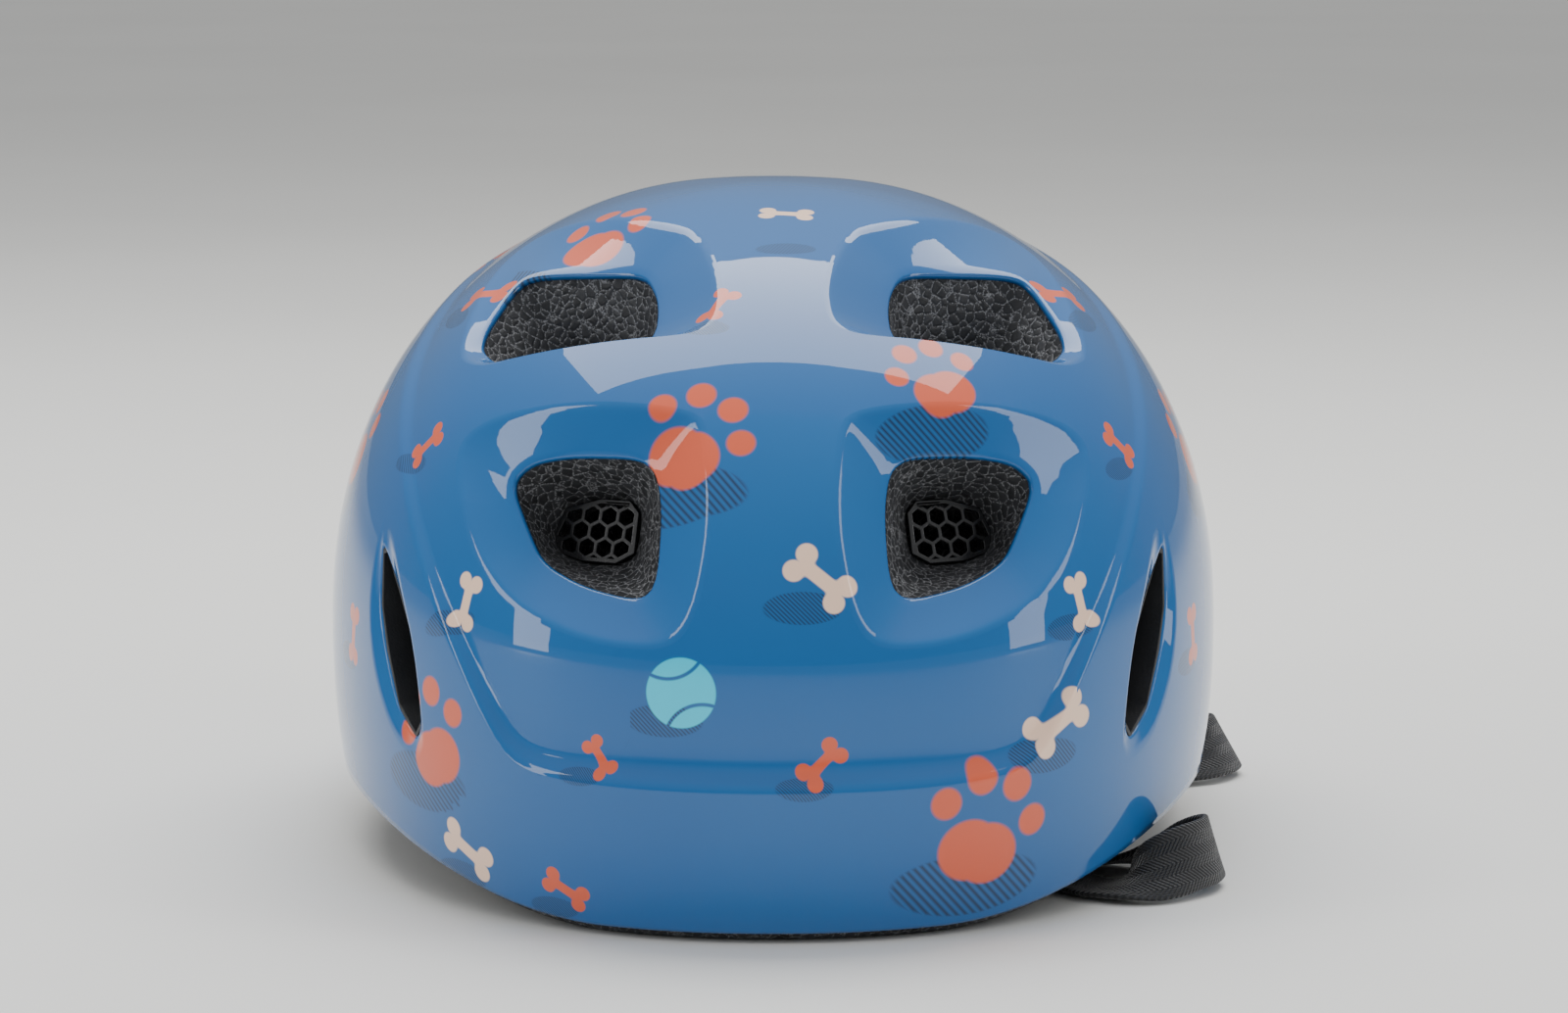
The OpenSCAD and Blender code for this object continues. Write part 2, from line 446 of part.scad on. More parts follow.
module strap_front_left() color(webc) mirror([1, 0, 0]) front_plain();
module strap_rear_left() color(webc) mirror([1, 0, 0]) rear_plain();
// on the right both straps bow out under the rim before they turn in; their
// outer points are measured from the form's side and the hollow's wall, and
// their heights from the webbing's lower edge
fo = half_w - 5; ro_x = half_w + 9;         // how far out the two loops reach
function up(e, k) = e + web_w / 2 * k;
front_loop = [wall(an_front, 13, web_o), wall(an_front, 7.5, web_o + 0.1), [cav_w - 16, -60.3, 2.6], [cav_w - 11, -67.5, 1.3],
    [fo - 23, -76, up(1.7, 0.12)], [fo - 15, -78.5, up(0.6, 0.72)], [fo - 7, -76, up(1.4, 0.96)], [fo - 1.5, -70.5, up(2, 0.96)],
    [fo, -63.5, up(1.8, 0.96)], [fo - 5, -58, up(0.6, 0.88)], [fo - 17, -54, up(1.2, 0.32)], [66, -46, lie], [50.5, -36, lie], [div_x, div_y - div_l / 2 + 1, lie + 0.3]];
front_roll = [fa, fa, [0.82, 0.57, 0], [0.79, 0.61, 0], [0.59, 0.81, 0.12], [0.05, 0.65, 0.7], [-0.2, 0.3, 0.95], [-0.25, 0.15, 0.95],
    [-0.3, -0.1, 0.95], [-0.25, -0.45, 0.8], [-0.38, -0.86, 0.3], [-0.51, -0.86, 0], [-0.75, -0.66, 0], [-0.93, -0.37, 0]];
module strap_front_right() color(webc) webbing(concat(fd, front_loop), concat([fa, fa, fa], front_roll));
rear_loop = [wall(an_rear, 10, web_o + 0.3), [cav_w - 7.8, 49.8, 4.4], [cav_w - 1, 49, 2.2], [ro_x - 24, 47, up(2, 0.08)],
    [ro_x - 13, 46.5, up(1.35, 0.54)], [ro_x - 4, 49.5, up(0.9, 0.92)], [ro_x, 57, up(1.6, 0.88)], [ro_x - 4, 64, up(0.8, 0.88)],
    [ro_x - 17, 63, up(1.8, 0.24)], [79, 52, lie], [63, 36, lie], [49, 21, lie], [div_x, div_y + div_l / 2 - 1, lie + 0.3]];
rear_roll = [ra, [-0.2, 0.97, 0], [0.16, 0.98, 0], [0.12, 0.99, 0.08], [-0.1, 0.8, 0.5], [-0.4, 0.4, 0.8], [-0.45, 0, 0.8],
    [-0.2, -0.5, 0.75], [0.35, -0.88, 0.25], [0.64, -0.76, 0], [0.72, -0.7, 0], [0.86, -0.51, 0], [0.97, -0.26, 0]];
module strap_rear_right() color(webc) webbing(concat(rd, rear_loop), concat([ra, ra, ra], rear_roll));

// Y-shaped divider: a plate with an under-channel for the webbing and a cam lever on top
chan_z = lie + web_t / 2 + 0.75;            // roof of the channels in a divider
module divider() difference() {
    translate([div_x - div_w / 2, div_y - div_l / 2, clr]) linear_extrude(div_t) offset(r = 2.5) offset(delta = -2.5) square([div_w, div_l]);
    translate([div_x - web_w / 2 - 1.7, div_y - div_l / 2 - 1, -1]) cube([web_w + 3.4, div_l + 2, chan_z + 1]);
    translate([div_x - div_w / 2 - 1, div_y - web_w / 2 - 0.8, -1]) cube([div_w / 2, web_w + 1.6, chan_z + 1]);
    translate([div_x - web_w / 2 + 1, div_y - 6.5, clr]) cube([web_w - 2, 13, div_t + 2]);
}
module divider_left() color(black) mirror([1, 0, 0]) divider();
module divider_right() color(black) divider();
cam_y = div_y - 5.1; cam_z = chan_z + 1.25;
module cam() union() {
    translate([div_x, cam_y, cam_z]) rotate([0, 90, 0]) cylinder(h = web_w - 3, r = 1.1, center = true, $fn = 32);
    translate([div_x - web_w / 2 + 1.5, cam_y, cam_z - 0.2]) cube([web_w - 3, 11, 1.3]);
}
module cam_left() color("#2c2d31") mirror([1, 0, 0]) cam();
module cam_right() color("#2c2d31") cam();

// ---- chin webbing and buckle -------------------------------------------
bk_z = clr;                                 // underside of the buckle halves
slit_z = bk_z + buckle_t / 2;               // middle of the slit that holds the webbing
male_x = -14; male_y = -52;                 // where the webbing enters the male half
fem_x = 16; fem_y = 46;                     // and the female half
base_l = 11; prong_l = 17; prong_w = 3.2; tip_w = 2.2;
sock_l = prong_l + 2; shell_l = sock_l + 9; inner_w = buckle_w - 4.4;
male_t = buckle_t - 3.6;
module chin_strap_left() color(webc) mirror([1, 0, 0]) webbing([[div_x - web_w / 2 + 4, div_y, lie + 0.3], [27, div_y, lie], [17, -12, lie], [-male_x, -21, lie], [-male_x, -34, lie], [-male_x, -41, lie + 0.3], [-male_x, male_y + 4, slit_z - 0.4], [-male_x, male_y - 4, slit_z]],
    [[0, 1, 0], [0, 1, 0], [0.75, 0.7, 0], [1, 0, 0], [1, 0, 0], [1, 0, 0], [1, 0, 0], [1, 0, 0]]);
module chin_strap_right() color(webc) webbing([[div_x - web_w / 2 + 4, div_y, lie + 0.3], [28, div_y, lie], [fem_x + 3, -3, lie], [fem_x, 8, lie], [fem_x, 30, lie], [fem_x, fem_y - 4, slit_z - 0.4], [fem_x, fem_y + 4, slit_z]],
    [[0, 1, 0], [0, 1, 0], [-0.75, 0.7, 0], [-1, 0, 0], [-1, 0, 0], [-1, 0, 0], [-1, 0, 0]]);
module rbox(x, y, z, r) translate([-x / 2, 0, 0]) linear_extrude(z) offset(r = r, $fn = 32) offset(delta = -r) square([x, y]);
module buckle_male() color(black) translate([male_x, male_y, 0]) rotate(180) union() {
    difference() {
        translate([0, 0, bk_z]) rbox(buckle_w - 1, base_l, buckle_t, 2);
        translate([-web_w / 2 - 0.5, -1, slit_z - web_t / 2 - 0.3]) cube([web_w + 1, 6.5, web_t + 0.6]);
    }
    translate([-2, base_l - 0.5, slit_z - male_t / 2]) cube([4, prong_l - 3, male_t]);
}
prong_x = inner_w / 2 - prong_w / 2 - 0.3;
module prong() translate([prong_x, base_l + clr, slit_z - male_t / 2]) linear_extrude(male_t) polygon([
        [-prong_w / 2, 0], [prong_w / 2, 0], [prong_w / 2, prong_l * 0.45], [prong_w / 2 + tip_w, prong_l * 0.5], [prong_w / 2 + tip_w - 0.4, prong_l * 0.78], [prong_w / 2 - 1, prong_l], [-prong_w / 2, prong_l]]);
module prong_outer() color(black) translate([male_x, male_y, 0]) rotate(180) prong();
module prong_inner() color(black) translate([male_x, male_y, 0]) rotate(180) mirror([1, 0, 0]) prong();
module buckle_female() color(black) translate([fem_x, fem_y, bk_z]) difference() {
    rbox(buckle_w, shell_l, buckle_t, 3);
    translate([-inner_w / 2, 9, 1.6]) cube([inner_w, sock_l + 1, buckle_t - 3.2]);
    for (m = [0, 1]) mirror([m, 0, 0]) translate([inner_w / 2 - 1, 9 + prong_l * 0.2, 1.6]) cube([5, prong_l * 0.42, buckle_t - 3.2]);
    translate([-web_w / 2 - 0.5, -1, buckle_t / 2 - web_t / 2 - 0.3]) cube([web_w + 1, 6.5, web_t + 0.6]);
}
// soft sleeve under the chin, round the right-hand webbing
module chin_pad() color(black) difference() {
    translate([fem_x, 12, 0.1]) linear_extrude(lie + web_t / 2 + 2.2) offset(r = 3, $fn = 24) offset(delta = -3) translate([-web_w / 2 - 4.5, 0]) square([web_w + 9, 16]);
    translate([fem_x - web_w / 2 - 0.8, 5, 0.9 - 0.8]) cube([web_w + 1.6, 26, lie + web_t / 2 + 0.3]);
}
// elastic ring on the left-hand webbing
keep_y = -28; keep_x = male_x;
module strap_keeper() color(black) translate([keep_x, keep_y, 0]) difference() {
    translate([-web_w / 2 - 2, -3, 0.05]) cube([web_w + 4, 6, lie + web_t / 2 + 1.5]);
    translate([-web_w / 2 - 0.5, -4, lie - web_t / 2 - 0.1]) cube([web_w + 1, 8, web_t + 0.4]);
}

outer_shell();
eps_liner();
net_left();
net_right();
slot_insert_left();
slot_insert_right();
brow_pad();
crown_pad();
crown_pad_left();
crown_pad_right();
side_pad_left();
side_pad_right();
hook_tabs();
ring_band();
ring_clips();
belt_guide_left();
belt_guide_right();
belt_left();
belt_right();
cradle_shell();
cradle_cover();
cradle_pad();
cradle_rail();
dial_knob();
dial_pinion();
anchor_front_left();
anchor_front_right();
anchor_rear_left();
anchor_rear_right();
strap_front_left();
strap_front_right();
strap_rear_left();
strap_rear_right();
divider_left();
divider_right();
cam_left();
cam_right();
chin_strap_left();
chin_strap_right();
buckle_male();
prong_outer();
prong_inner();
buckle_female();
chin_pad();
strap_keeper();
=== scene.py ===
# %% [markdown]
# # A child's cycling helmet, piece by piece
# The helmet is a thin glossy shell over moulded foam, with vents, a fit ring,
# pads, webbing and an open buckle. Its construction comes from the packed
# model, which the first cell imports. This file gives every piece its surface.

# %% Load the fixed frame
import math
import bpy
import numpy as np
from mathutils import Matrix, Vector


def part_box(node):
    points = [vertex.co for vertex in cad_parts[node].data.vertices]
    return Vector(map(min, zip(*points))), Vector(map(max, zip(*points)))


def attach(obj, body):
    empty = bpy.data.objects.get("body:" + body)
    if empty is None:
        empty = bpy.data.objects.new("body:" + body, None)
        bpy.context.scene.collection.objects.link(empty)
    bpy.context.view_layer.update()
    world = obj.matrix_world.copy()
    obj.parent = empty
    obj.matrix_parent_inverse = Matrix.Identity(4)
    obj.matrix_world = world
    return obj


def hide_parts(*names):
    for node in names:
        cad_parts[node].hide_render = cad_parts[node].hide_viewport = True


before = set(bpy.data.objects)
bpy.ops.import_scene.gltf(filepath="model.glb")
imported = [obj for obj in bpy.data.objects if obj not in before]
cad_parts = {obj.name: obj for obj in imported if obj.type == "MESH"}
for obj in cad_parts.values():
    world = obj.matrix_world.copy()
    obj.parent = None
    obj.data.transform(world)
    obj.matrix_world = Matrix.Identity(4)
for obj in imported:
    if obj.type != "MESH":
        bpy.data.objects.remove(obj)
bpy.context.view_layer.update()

# %% [markdown]
# ## Camera, lights and floor
# A long lens from a little above the bench flattens the helmet, so that its
# front fills the view. One broad soft box over the crown gives the shell its
# long white highlight, two weaker ones at the sides keep the edges alive, and
# a narrow one in front only fills: it is left out of reflections.

# %% Camera
def look(name, data, place, target):
    """An object at place whose -Z axis points at target."""
    obj = bpy.data.objects.new(name, data)
    obj.location = place
    obj.rotation_euler = (Vector(target) - Vector(place)).to_track_quat("-Z", "Y").to_euler()
    bpy.context.scene.collection.objects.link(obj)
    return obj

lens = bpy.data.cameras.new("studio_camera")
lens.lens, lens.sensor_width, lens.shift_x = 112, 36, 0.0069
lens.clip_start, lens.clip_end = 0.05, 20
eye, down = Vector((0, -1.128, 0.2493)), math.radians(8.75)
camera = look("studio_camera", lens, eye, eye + Vector((0, math.cos(down), -math.sin(down))))
bpy.context.scene.camera = camera
print("camera", tuple(round(v, 3) for v in camera.location))

# %% Lights
def soft_box(name, power, size, place, target=(0, 0, 0.08)):
    """A rectangular area light of a size in metres, facing target."""
    data = bpy.data.lights.new(name, "AREA")
    data.shape, data.size, data.size_y = "RECTANGLE", size[0], size[1]
    data.energy = power
    return look(name, data, place, target)

soft_box("overhead_box", 20, (1.5, 0.8), (0.0, 0.4, 1.15), target=(0, 0.05, 0.1))
front_box = soft_box("front_box", 4.2, (0.26, 1.1), (0.0, -1.25, 1.05), target=(0, -0.05, 0.1))
front_box.visible_glossy = False            # it leaves no bright oblong on the lacquer
soft_box("left_box", 5.0, (0.3, 1.0), (-1.25, -0.55, 0.5))
soft_box("right_box", 4.0, (0.3, 1.0), (1.25, -0.45, 0.5))

# %% [markdown]
# ## Materials from nodes
# Colours are written as sRGB hex values and turned to linear light once. One
# function adds any node: settings by name, inputs in their shown order or as a
# dictionary, and it returns the node's first output, ready to plug in.

# %% Node helper
def linear(code):
    """sRGB hex to linear RGBA: c/12.92 below 0.04045, else ((c+0.055)/1.055)^2.4."""
    c = np.array([int(code[i:i + 2], 16) for i in (1, 3, 5)]) / 255
    c = np.where(c < 0.04045, c / 12.92, ((c + 0.055) / 1.055) ** 2.4)
    return (*c.tolist(), 1.0)

def add(tree, kind, *inputs, **settings):
    """Adds a shader node, sets it, fills or links its inputs, returns its first output."""
    node = tree.nodes.new(kind if "Node" in kind else "ShaderNode" + kind)
    for key, value in settings.items():
        setattr(node, key, value)
    if len(inputs) == 1 and isinstance(inputs[0], dict):
        pairs = [(node.inputs[key], value) for key, value in inputs[0].items()]
    else:
        pairs = list(zip([s for s in node.inputs if s.enabled], inputs))
    for socket, value in pairs:
        if isinstance(value, bpy.types.NodeSocket):
            tree.links.new(value, socket)
        elif value is not None:
            socket.default_value = value
    return next((s for s in node.outputs if s.enabled), None)

def material(name, build):
    """A material whose tree is filled by build(tree), which returns the surface shader."""
    made = bpy.data.materials.new(name)
    made.use_nodes = True
    tree = made.node_tree
    tree.nodes.clear()
    surface = build(tree)
    add(tree, "OutputMaterial", surface)
    return made

def points_of(tree):
    """The Object coordinates of a piece, in metres."""
    return add(tree, "TexCoord").node.outputs["Object"]

print("#808080 in linear light:", round(linear("#808080")[0], 3))

# %% World and floor
def studio_floor(tree):
    # matt seamless paper: no shine, a faint mottle
    mottle = add(tree, "TexNoise", points_of(tree), 3.0, 3.0)
    tone = add(tree, "ValToRGB", mottle)
    ramp = tone.node.color_ramp
    ramp.elements[0].color, ramp.elements[1].color = linear("#dededb"), linear("#e8e8e5")
    return add(tree, "BsdfPrincipled", {"Base Color": tone, "Roughness": 0.7, "Specular IOR Level": 0.25})

world = bpy.data.worlds.new("studio")
bpy.context.scene.world = world
world.use_nodes = True
sky = world.node_tree
sky.nodes.clear()
height = add(sky, "SeparateXYZ", add(sky, "TexCoord")).node.outputs["Z"]
shade = add(sky, "ValToRGB", add(sky, "MapRange", height, -0.2, 0.9))
for stop, code in zip(shade.node.color_ramp.elements, ("#6a7076", "#ffffff")):
    stop.color = linear(code)
add(sky, "OutputWorld", add(sky, "Background", shade, 0.68))

floor_mesh = bpy.data.meshes.new("floor")
FLOOR = 40.0                                # half of its side in metres, past every view
corners = [(-FLOOR, -FLOOR, 0), (FLOOR, -FLOOR, 0), (FLOOR, FLOOR, 0), (-FLOOR, FLOOR, 0)]
floor_mesh.from_pydata(corners, [], [(0, 1, 2, 3)])
floor = bpy.data.objects.new("floor", floor_mesh)
bpy.context.scene.collection.objects.link(floor)
floor.data.materials.append(material("seamless_paper", studio_floor))
print("floor", 2 * FLOOR, "m wide")

# %% [markdown]
# ## The helmet's form as a formula
# The shell is one superellipsoid seen in plan and in section, with its lower
# edge lifted over the ears and a step that runs behind the brow and up over
# the temples. Every surface here is that formula worked out for a whole grid
# of angles at once. Sizes are in millimetres until a mesh is made.

# %% Form
MM = 0.001
shell_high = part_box("outer_shell")[1]
HALF_W = round(shell_high.x / MM, 2)        # half of the width
TOP = shell_high.z / MM                     # height of the crown
# reach to the front and to the rear, height of the widest line, and the half axis below
# it, of which only the top part is used because the edge cuts the rest away
LEN_F, LEN_R, WAIST, TUCK = 133.0, 123.0, 50.0, 122.0
CROWN, EAR, BROW = TOP - WAIST, 16.0, 4.0
HALF_L, FORM_Y = (LEN_F + LEN_R) / 2, (LEN_F - LEN_R) / 2
PLAN, SECTION = 2.15, 2.2                   # exponents of the two sections
STEP = 5.4                                  # height over which the step runs out
POLE_STEP, POLE_FROM = 1.2, 62              # the step's depth at the pole, blended in from there
# the head hollow: half width, half length, rise over the waist, middle, half axis below
CAV_W, CAV_L, CAV_RISE, CAV_Y, CAV_TUCK = 79.0, 98.0, 74.0, 3.0, 158.0
RAD = math.pi / 180

def power(v, e):
    """Signed power: sign(v) |v|^e."""
    return np.sign(v) * np.abs(v) ** e

def ease(t):
    """Smooth step from 0 to 1: t^2 (3 - 2t), t held in 0..1."""
    t = np.clip(t, 0, 1)
    return t * t * (3 - 2 * t)

def fold(th):
    """Angle from the front, the same on both sides."""
    th = np.mod(th, 360)
    return np.where(th > 180, 360 - th, th)

def rim(th):
    """Height of the lower edge: EAR over the ears, 0 at front and rear."""
    a = fold(th)
    return EAR * ease((a - 20) / 55) * (1 - ease((a - 105) / 40))

def crease(th):
    """Height of the step: flat over the brow, then rising past the temples as 1 - e^-m."""
    t = fold(th) - 32
    m = (t + np.sqrt(t * t + 9)) / 2
    return WAIST - 16 + (CROWN + 7) * (1 - np.exp(-m / 34))

def step_in(th):
    """Depth of the step, full at the front and gone behind the ears."""
    a = fold(th)
    return (0.3 * BROW + 0.7 * BROW * (1 - ease((a - 10) / 50))) * (1 - ease((a - 90) / 40))

def beta(z, up, lo):
    """Elevation angle whose superellipse height is z."""
    high = np.arcsin(np.clip((z - WAIST) / up, 0, 1) ** (SECTION / 2))
    low = -np.arcsin(np.clip((WAIST - z) / lo, 0, 1) ** (SECTION / 2))
    return np.where(z >= WAIST, high, low) / RAD

def form(th, b, o=0.0):
    """Point at angle th and elevation b, moved in by o: x = (W-d) cos^k b sin^j th and so on."""
    up, lo = CROWN - o, TUCK - o
    z = WAIST + np.where(b > 0, up, lo) * power(np.sin(b * RAD), 2 / SECTION)
    s = step_in(th)
    s = s + (POLE_STEP - s) * ease((b - POLE_FROM) / (90 - POLE_FROM))
    d = o + s * ease((z - crease(th)) / STEP)
    r = np.maximum(0, np.cos(b * RAD)) ** (2 / SECTION)
    z = np.where(z > WAIST, WAIST + (z - WAIST) * (up + o - d) / up, z)
    run = HALF_L + FORM_Y * np.cos(th * RAD)
    x = (HALF_W - d) * r * power(np.sin(th * RAD), 2 / PLAN)
    y = FORM_Y - (run - d) * r * power(np.cos(th * RAD), 2 / PLAN)
    return np.stack([x, y, z], -1)

def at_height(th, z, o=0.0):
    return form(np.asarray(th, float), beta(np.asarray(z, float), CROWN - o, TUCK - o), o)

def unit(v):
    return v / np.linalg.norm(v, axis=-1, keepdims=True)

def outward(th, z):
    """Unit normal from two small steps along the surface."""
    round_it, up_it = at_height(th + 1, z) - at_height(th - 1, z), at_height(th, z + 1) - at_height(th, z - 1)
    return unit(np.cross(round_it, up_it))

OUTER = 0.87                                # level() above this is the outside, below it the hollow

def level(P):
    """1 on the form, about 0.76 on the head hollow: the superellipsoid's own radius."""
    z = P[:, 2] - WAIST
    q = np.stack([P[:, 0] / HALF_W, (P[:, 1] - FORM_Y) / HALF_L, z / np.where(z > 0, CROWN, TUCK)], -1)
    return (np.abs(q) ** SECTION).sum(-1) ** (1 / SECTION)

def wall(th, z, o=0.0):
    """Point of the head hollow at a height, moved in by o."""
    th, z = np.asarray(th, float), np.asarray(z, float)
    r = (1 - (np.abs(z - WAIST) / np.where(z > WAIST, CAV_RISE, CAV_TUCK)) ** SECTION) ** (1 / SECTION)
    x = (CAV_W * r - o) * power(np.sin(th * RAD), 2 / PLAN)
    y = CAV_Y - (CAV_L * r - o) * power(np.cos(th * RAD), 2 / PLAN)
    return np.stack([x, y, z + 0 * x], -1)

def roof(x, y, o=0.0):
    """Point under the hollow's roof over x, y, moved down by o."""
    q = (np.abs(x) / CAV_W) ** PLAN + (np.abs(y - CAV_Y) / CAV_L) ** PLAN
    return np.stack([x, y, WAIST + CAV_RISE * np.maximum(0, 1 - q ** (SECTION / PLAN)) ** (1 / SECTION) - o], -1)

print("shell half width", HALF_W, "crown", round(TOP, 1), "rear of the form", at_height(180, WAIST).round(1))

# %% [markdown]
# ## Cutting clean holes in a grid
# A vent needs a crisp edge that runs across the grid's cells. The signed
# distance to the vent's outline is worked out for all points, cells inside are
# dropped, and cells that the outline crosses get new points exactly on it.
# A strip then zips the new edge to rings that lead down into the vent.

# %% Meshes, outlines and cuts
def piece(name, points, faces, mat, smooth=True, uv=None, sharp=()):
    """A mesh object from points in mm and a list of face arrays; uv has a pair for each point, sharp has loops."""
    mesh = bpy.data.meshes.new(name)
    corners = [f for part in faces for f in np.asarray(part).tolist()]
    mesh.from_pydata((np.asarray(points, float) * MM).tolist(), [], corners)
    mesh.validate()
    mesh.update()
    mesh.polygons.foreach_set("use_smooth", [smooth] * len(mesh.polygons))
    if uv is not None:
        corner = np.empty(len(mesh.loops), int)
        mesh.loops.foreach_get("vertex_index", corner)
        mesh.uv_layers.new(name="weave").data.foreach_set("uv", np.asarray(uv)[corner].ravel())
    if len(sharp):
        marked = np.zeros(len(mesh.vertices), bool)
        marked[np.concatenate(sharp)] = True
        ends = np.empty(len(mesh.edges) * 2, int)
        mesh.edges.foreach_get("vertices", ends)
        crisp = mesh.attributes.new("sharp_edge", "BOOLEAN", "EDGE")
        crisp.data.foreach_set("value", marked[ends.reshape(-1, 2)].all(1))
    obj = bpy.data.objects.new(name, mesh)
    bpy.context.scene.collection.objects.link(obj)
    if mat:
        mesh.materials.append(mat)
    return obj

def closed_curve(P, u, w):
    """Point at u on a polygon whose corners are rounded: a quadratic Bezier over w of each half edge."""
    P = np.asarray(P, float)
    n = len(P)
    k = np.round(u).astype(int)
    v = (u - k)[:, None]
    here, last, nxt = P[k % n], P[(k - 1) % n], P[(k + 1) % n]
    a, c, t = here + (last - here) * w / 2, here + (nxt - here) * w / 2, np.clip(v / w + 0.5, 0, 1)
    bend = (1 - t) ** 2 * a + 2 * t * (1 - t) * here + t * t * c
    straight = here + np.where(v > 0, nxt - here, last - here) * np.abs(v)
    return np.where(np.abs(v) < w / 2, bend, straight)

def signed(q, L):
    """Signed distance from points q to the closed polyline L: nearest segment, sign by crossings."""
    a, b = L, np.roll(L, -1, 0)
    e = b - a
    d = q[:, None] - a
    t = np.clip((d * e).sum(-1) / (e * e).sum(-1), 0, 1)[..., None]
    dist = np.linalg.norm(d - t * e, axis=-1).min(1)
    up = (a[:, 1] > q[:, None, 1]) != (b[:, 1] > q[:, None, 1])
    rise = np.where(e[:, 1] == 0, 1e-9, e[:, 1])
    cross = up & (q[:, None, 0] < a[:, 0] + (q[:, None, 1] - a[:, 1]) * e[:, 0] / rise)
    return np.where(cross.sum(1) % 2, -dist, dist)

def cut(V, T, f):
    """Drops the part of a triangle mesh where f < 0. Returns points, triangles and the new edge's points."""
    F = f(V)
    inside = F < 0
    count = inside[T].sum(1)
    keep = T[count == 0]
    one, two = T[count == 1], T[count == 2]
    turn = np.arange(3)[None]
    one = np.take_along_axis(one, (inside[one].argmax(1)[:, None] + turn) % 3, 1)
    two = np.take_along_axis(two, ((~inside[two]).argmax(1)[:, None] + turn) % 3, 1)
    crossed = np.concatenate([one[:, [0, 1]], one[:, [0, 2]], two[:, [0, 1]], two[:, [0, 2]]])
    key, back = np.unique(np.sort(crossed, 1), axis=0, return_inverse=True)
    back = back.reshape(-1)
    p, q, fp, fq = V[key[:, 0]], V[key[:, 1]], F[key[:, 0]], F[key[:, 1]]
    for _ in range(4):                      # false position on each crossed edge
        t = np.clip(fp / (fp - fq), 0.002, 0.998)[:, None]
        m = p + (q - p) * t
        fm = f(m)
        same = (fm < 0) == (fp < 0)
        p, fp = np.where(same[:, None], m, p), np.where(same, fm, fp)
        q, fq = np.where(same[:, None], q, m), np.where(same, fq, fm)
    new = len(V) + np.arange(len(key))
    n1, n2 = len(one), len(two)
    i = new[back]
    ab, ac, sb, sc = i[:n1], i[n1:2 * n1], i[2 * n1:2 * n1 + n2], i[2 * n1 + n2:]
    parts = [(ab, one[:, 1], one[:, 2]), (ab, one[:, 2], ac), (two[:, 0], sb, sc)]
    return np.concatenate([V, m]), np.concatenate([keep] + [np.stack(t, 1) for t in parts]), new

def zipper(A, ua, B, ub, closed=True):
    """Triangles between loops sorted by ua and ub: each step on one meets the last point passed on the other."""
    ja = np.searchsorted(ub, np.roll(ua, -1), side="right") - 1
    jb = np.searchsorted(ua, np.roll(ub, -1), side="left") - 1
    if not closed:
        ja, jb = np.maximum(ja, 0), np.maximum(jb, 0)
    first = np.stack([A, np.roll(A, -1), B[ja]], 1)
    second = np.stack([B, A[jb], np.roll(B, -1)], 1)
    return np.concatenate([first, second] if closed else [first[:-1], second[:-1]])

def rings(loops):
    """Quads between rings of equal count, each ring an index array."""
    out = []
    for a, b in zip(loops[:-1], loops[1:]):
        out.append(np.stack([a, np.roll(a, -1), np.roll(b, -1), b], 1))
    return np.concatenate(out)

def triangles(Q):
    return np.concatenate([Q[:, [0, 1, 2]], Q[:, [0, 2, 3]]])

def fan(ring, tip, flip=False):
    """Triangles from each step along a ring to one point."""
    ends = [np.roll(ring, -1), ring] if flip else [ring, np.roll(ring, -1)]
    return np.stack([*ends, np.full(len(ring), tip)], 1)

def dome_grid(rows, pole):
    """Points and triangles of a dome: rows run up from the edge, columns go round, a pole closes the top."""
    n, m, _ = rows.shape
    i = np.arange(n * m).reshape(n, m)
    T = np.concatenate([triangles(rings(list(i))), fan(i[-1], n * m)])
    return np.concatenate([rows.reshape(-1, 3), [pole]]), T

square = [[-1, -1], [1, -1], [1, 1], [-1, 1]]
print("a square's rounded corner:", closed_curve(square, np.array([0.0]), 0.9).round(2))

# %% [markdown]
# ## Vents
# Each vent is two rounded outlines in its own flat frame on the form: the
# dish's edge on the surface, and the hole at the dish's floor. Corners that
# share a number are joined by straight slopes, so the facets between them are
# as crisp as on a vacuum-formed shell, and a small fillet softens the edge.

# %% Vent outlines
def vent(angle, z, edge, depth, hole, deep, through, soft=(0.9, 0.85)):
    """A vent at an angle and height: edge, depth of its dish, hole, opening in the hollow, reach of its duct."""
    centre, n = at_height(angle, z), outward(angle, z)
    u = unit(np.array([0, 0, 1]) - n * n[2])
    s = np.cross(u, n)
    return dict(c=centre, n=n, u=u, s=s, edge=np.array(edge, float), hole=np.array(hole, float),
        deep=np.array(deep, float) if deep else None, depth=depth, through=through, soft=soft)

front_vent = vent(-21.8, WAIST + 38.4,
    [[-44, 18], [-37, 25.5], [-12, 30], [12, 30], [19, 27], [25.5, 5], [25, -14], [20, -23.5],
        [2, -24], [-18, -18], [-32, -6]], 8,
    [[-27, 11], [-23, 16], [-13, 18.5], [3, 19], [8, 16], [11, 7], [12.5, -9], [9, -13],
        [-5, -11], [-16, -6.5], [-21, 0.5]],
    [[-22, 4], [-20, 10], [-12, 12.5], [-5, 12.5], [-2.5, 10], [-2, 1], [-6, -1.5], [-14, -1.5], [-20, 0]], 25)
top_vent = vent(-33.5, WAIST + 82.2,
    [[-53, 34], [-48, 46], [-7, 39], [6, 34.5], [22.5, 15.5], [28.5, 3.5], [26, -4], [5, -11.7],
        [-11, -15.4], [-25, -17], [-38, -10]], 9,
    [[-37, 17], [-32, 20.5], [-9, 23.5], [-3, 22], [4, 14.5], [10, 3], [8, -7], [-3, -10],
        [-9, -11.5], [-26, -12], [-35, -5]],
    [[-26, 9], [-22, 13], [-8, 13], [-3, 8], [-2, -3], [-12, -5], [-24, -5], [-27, 0]], 28)
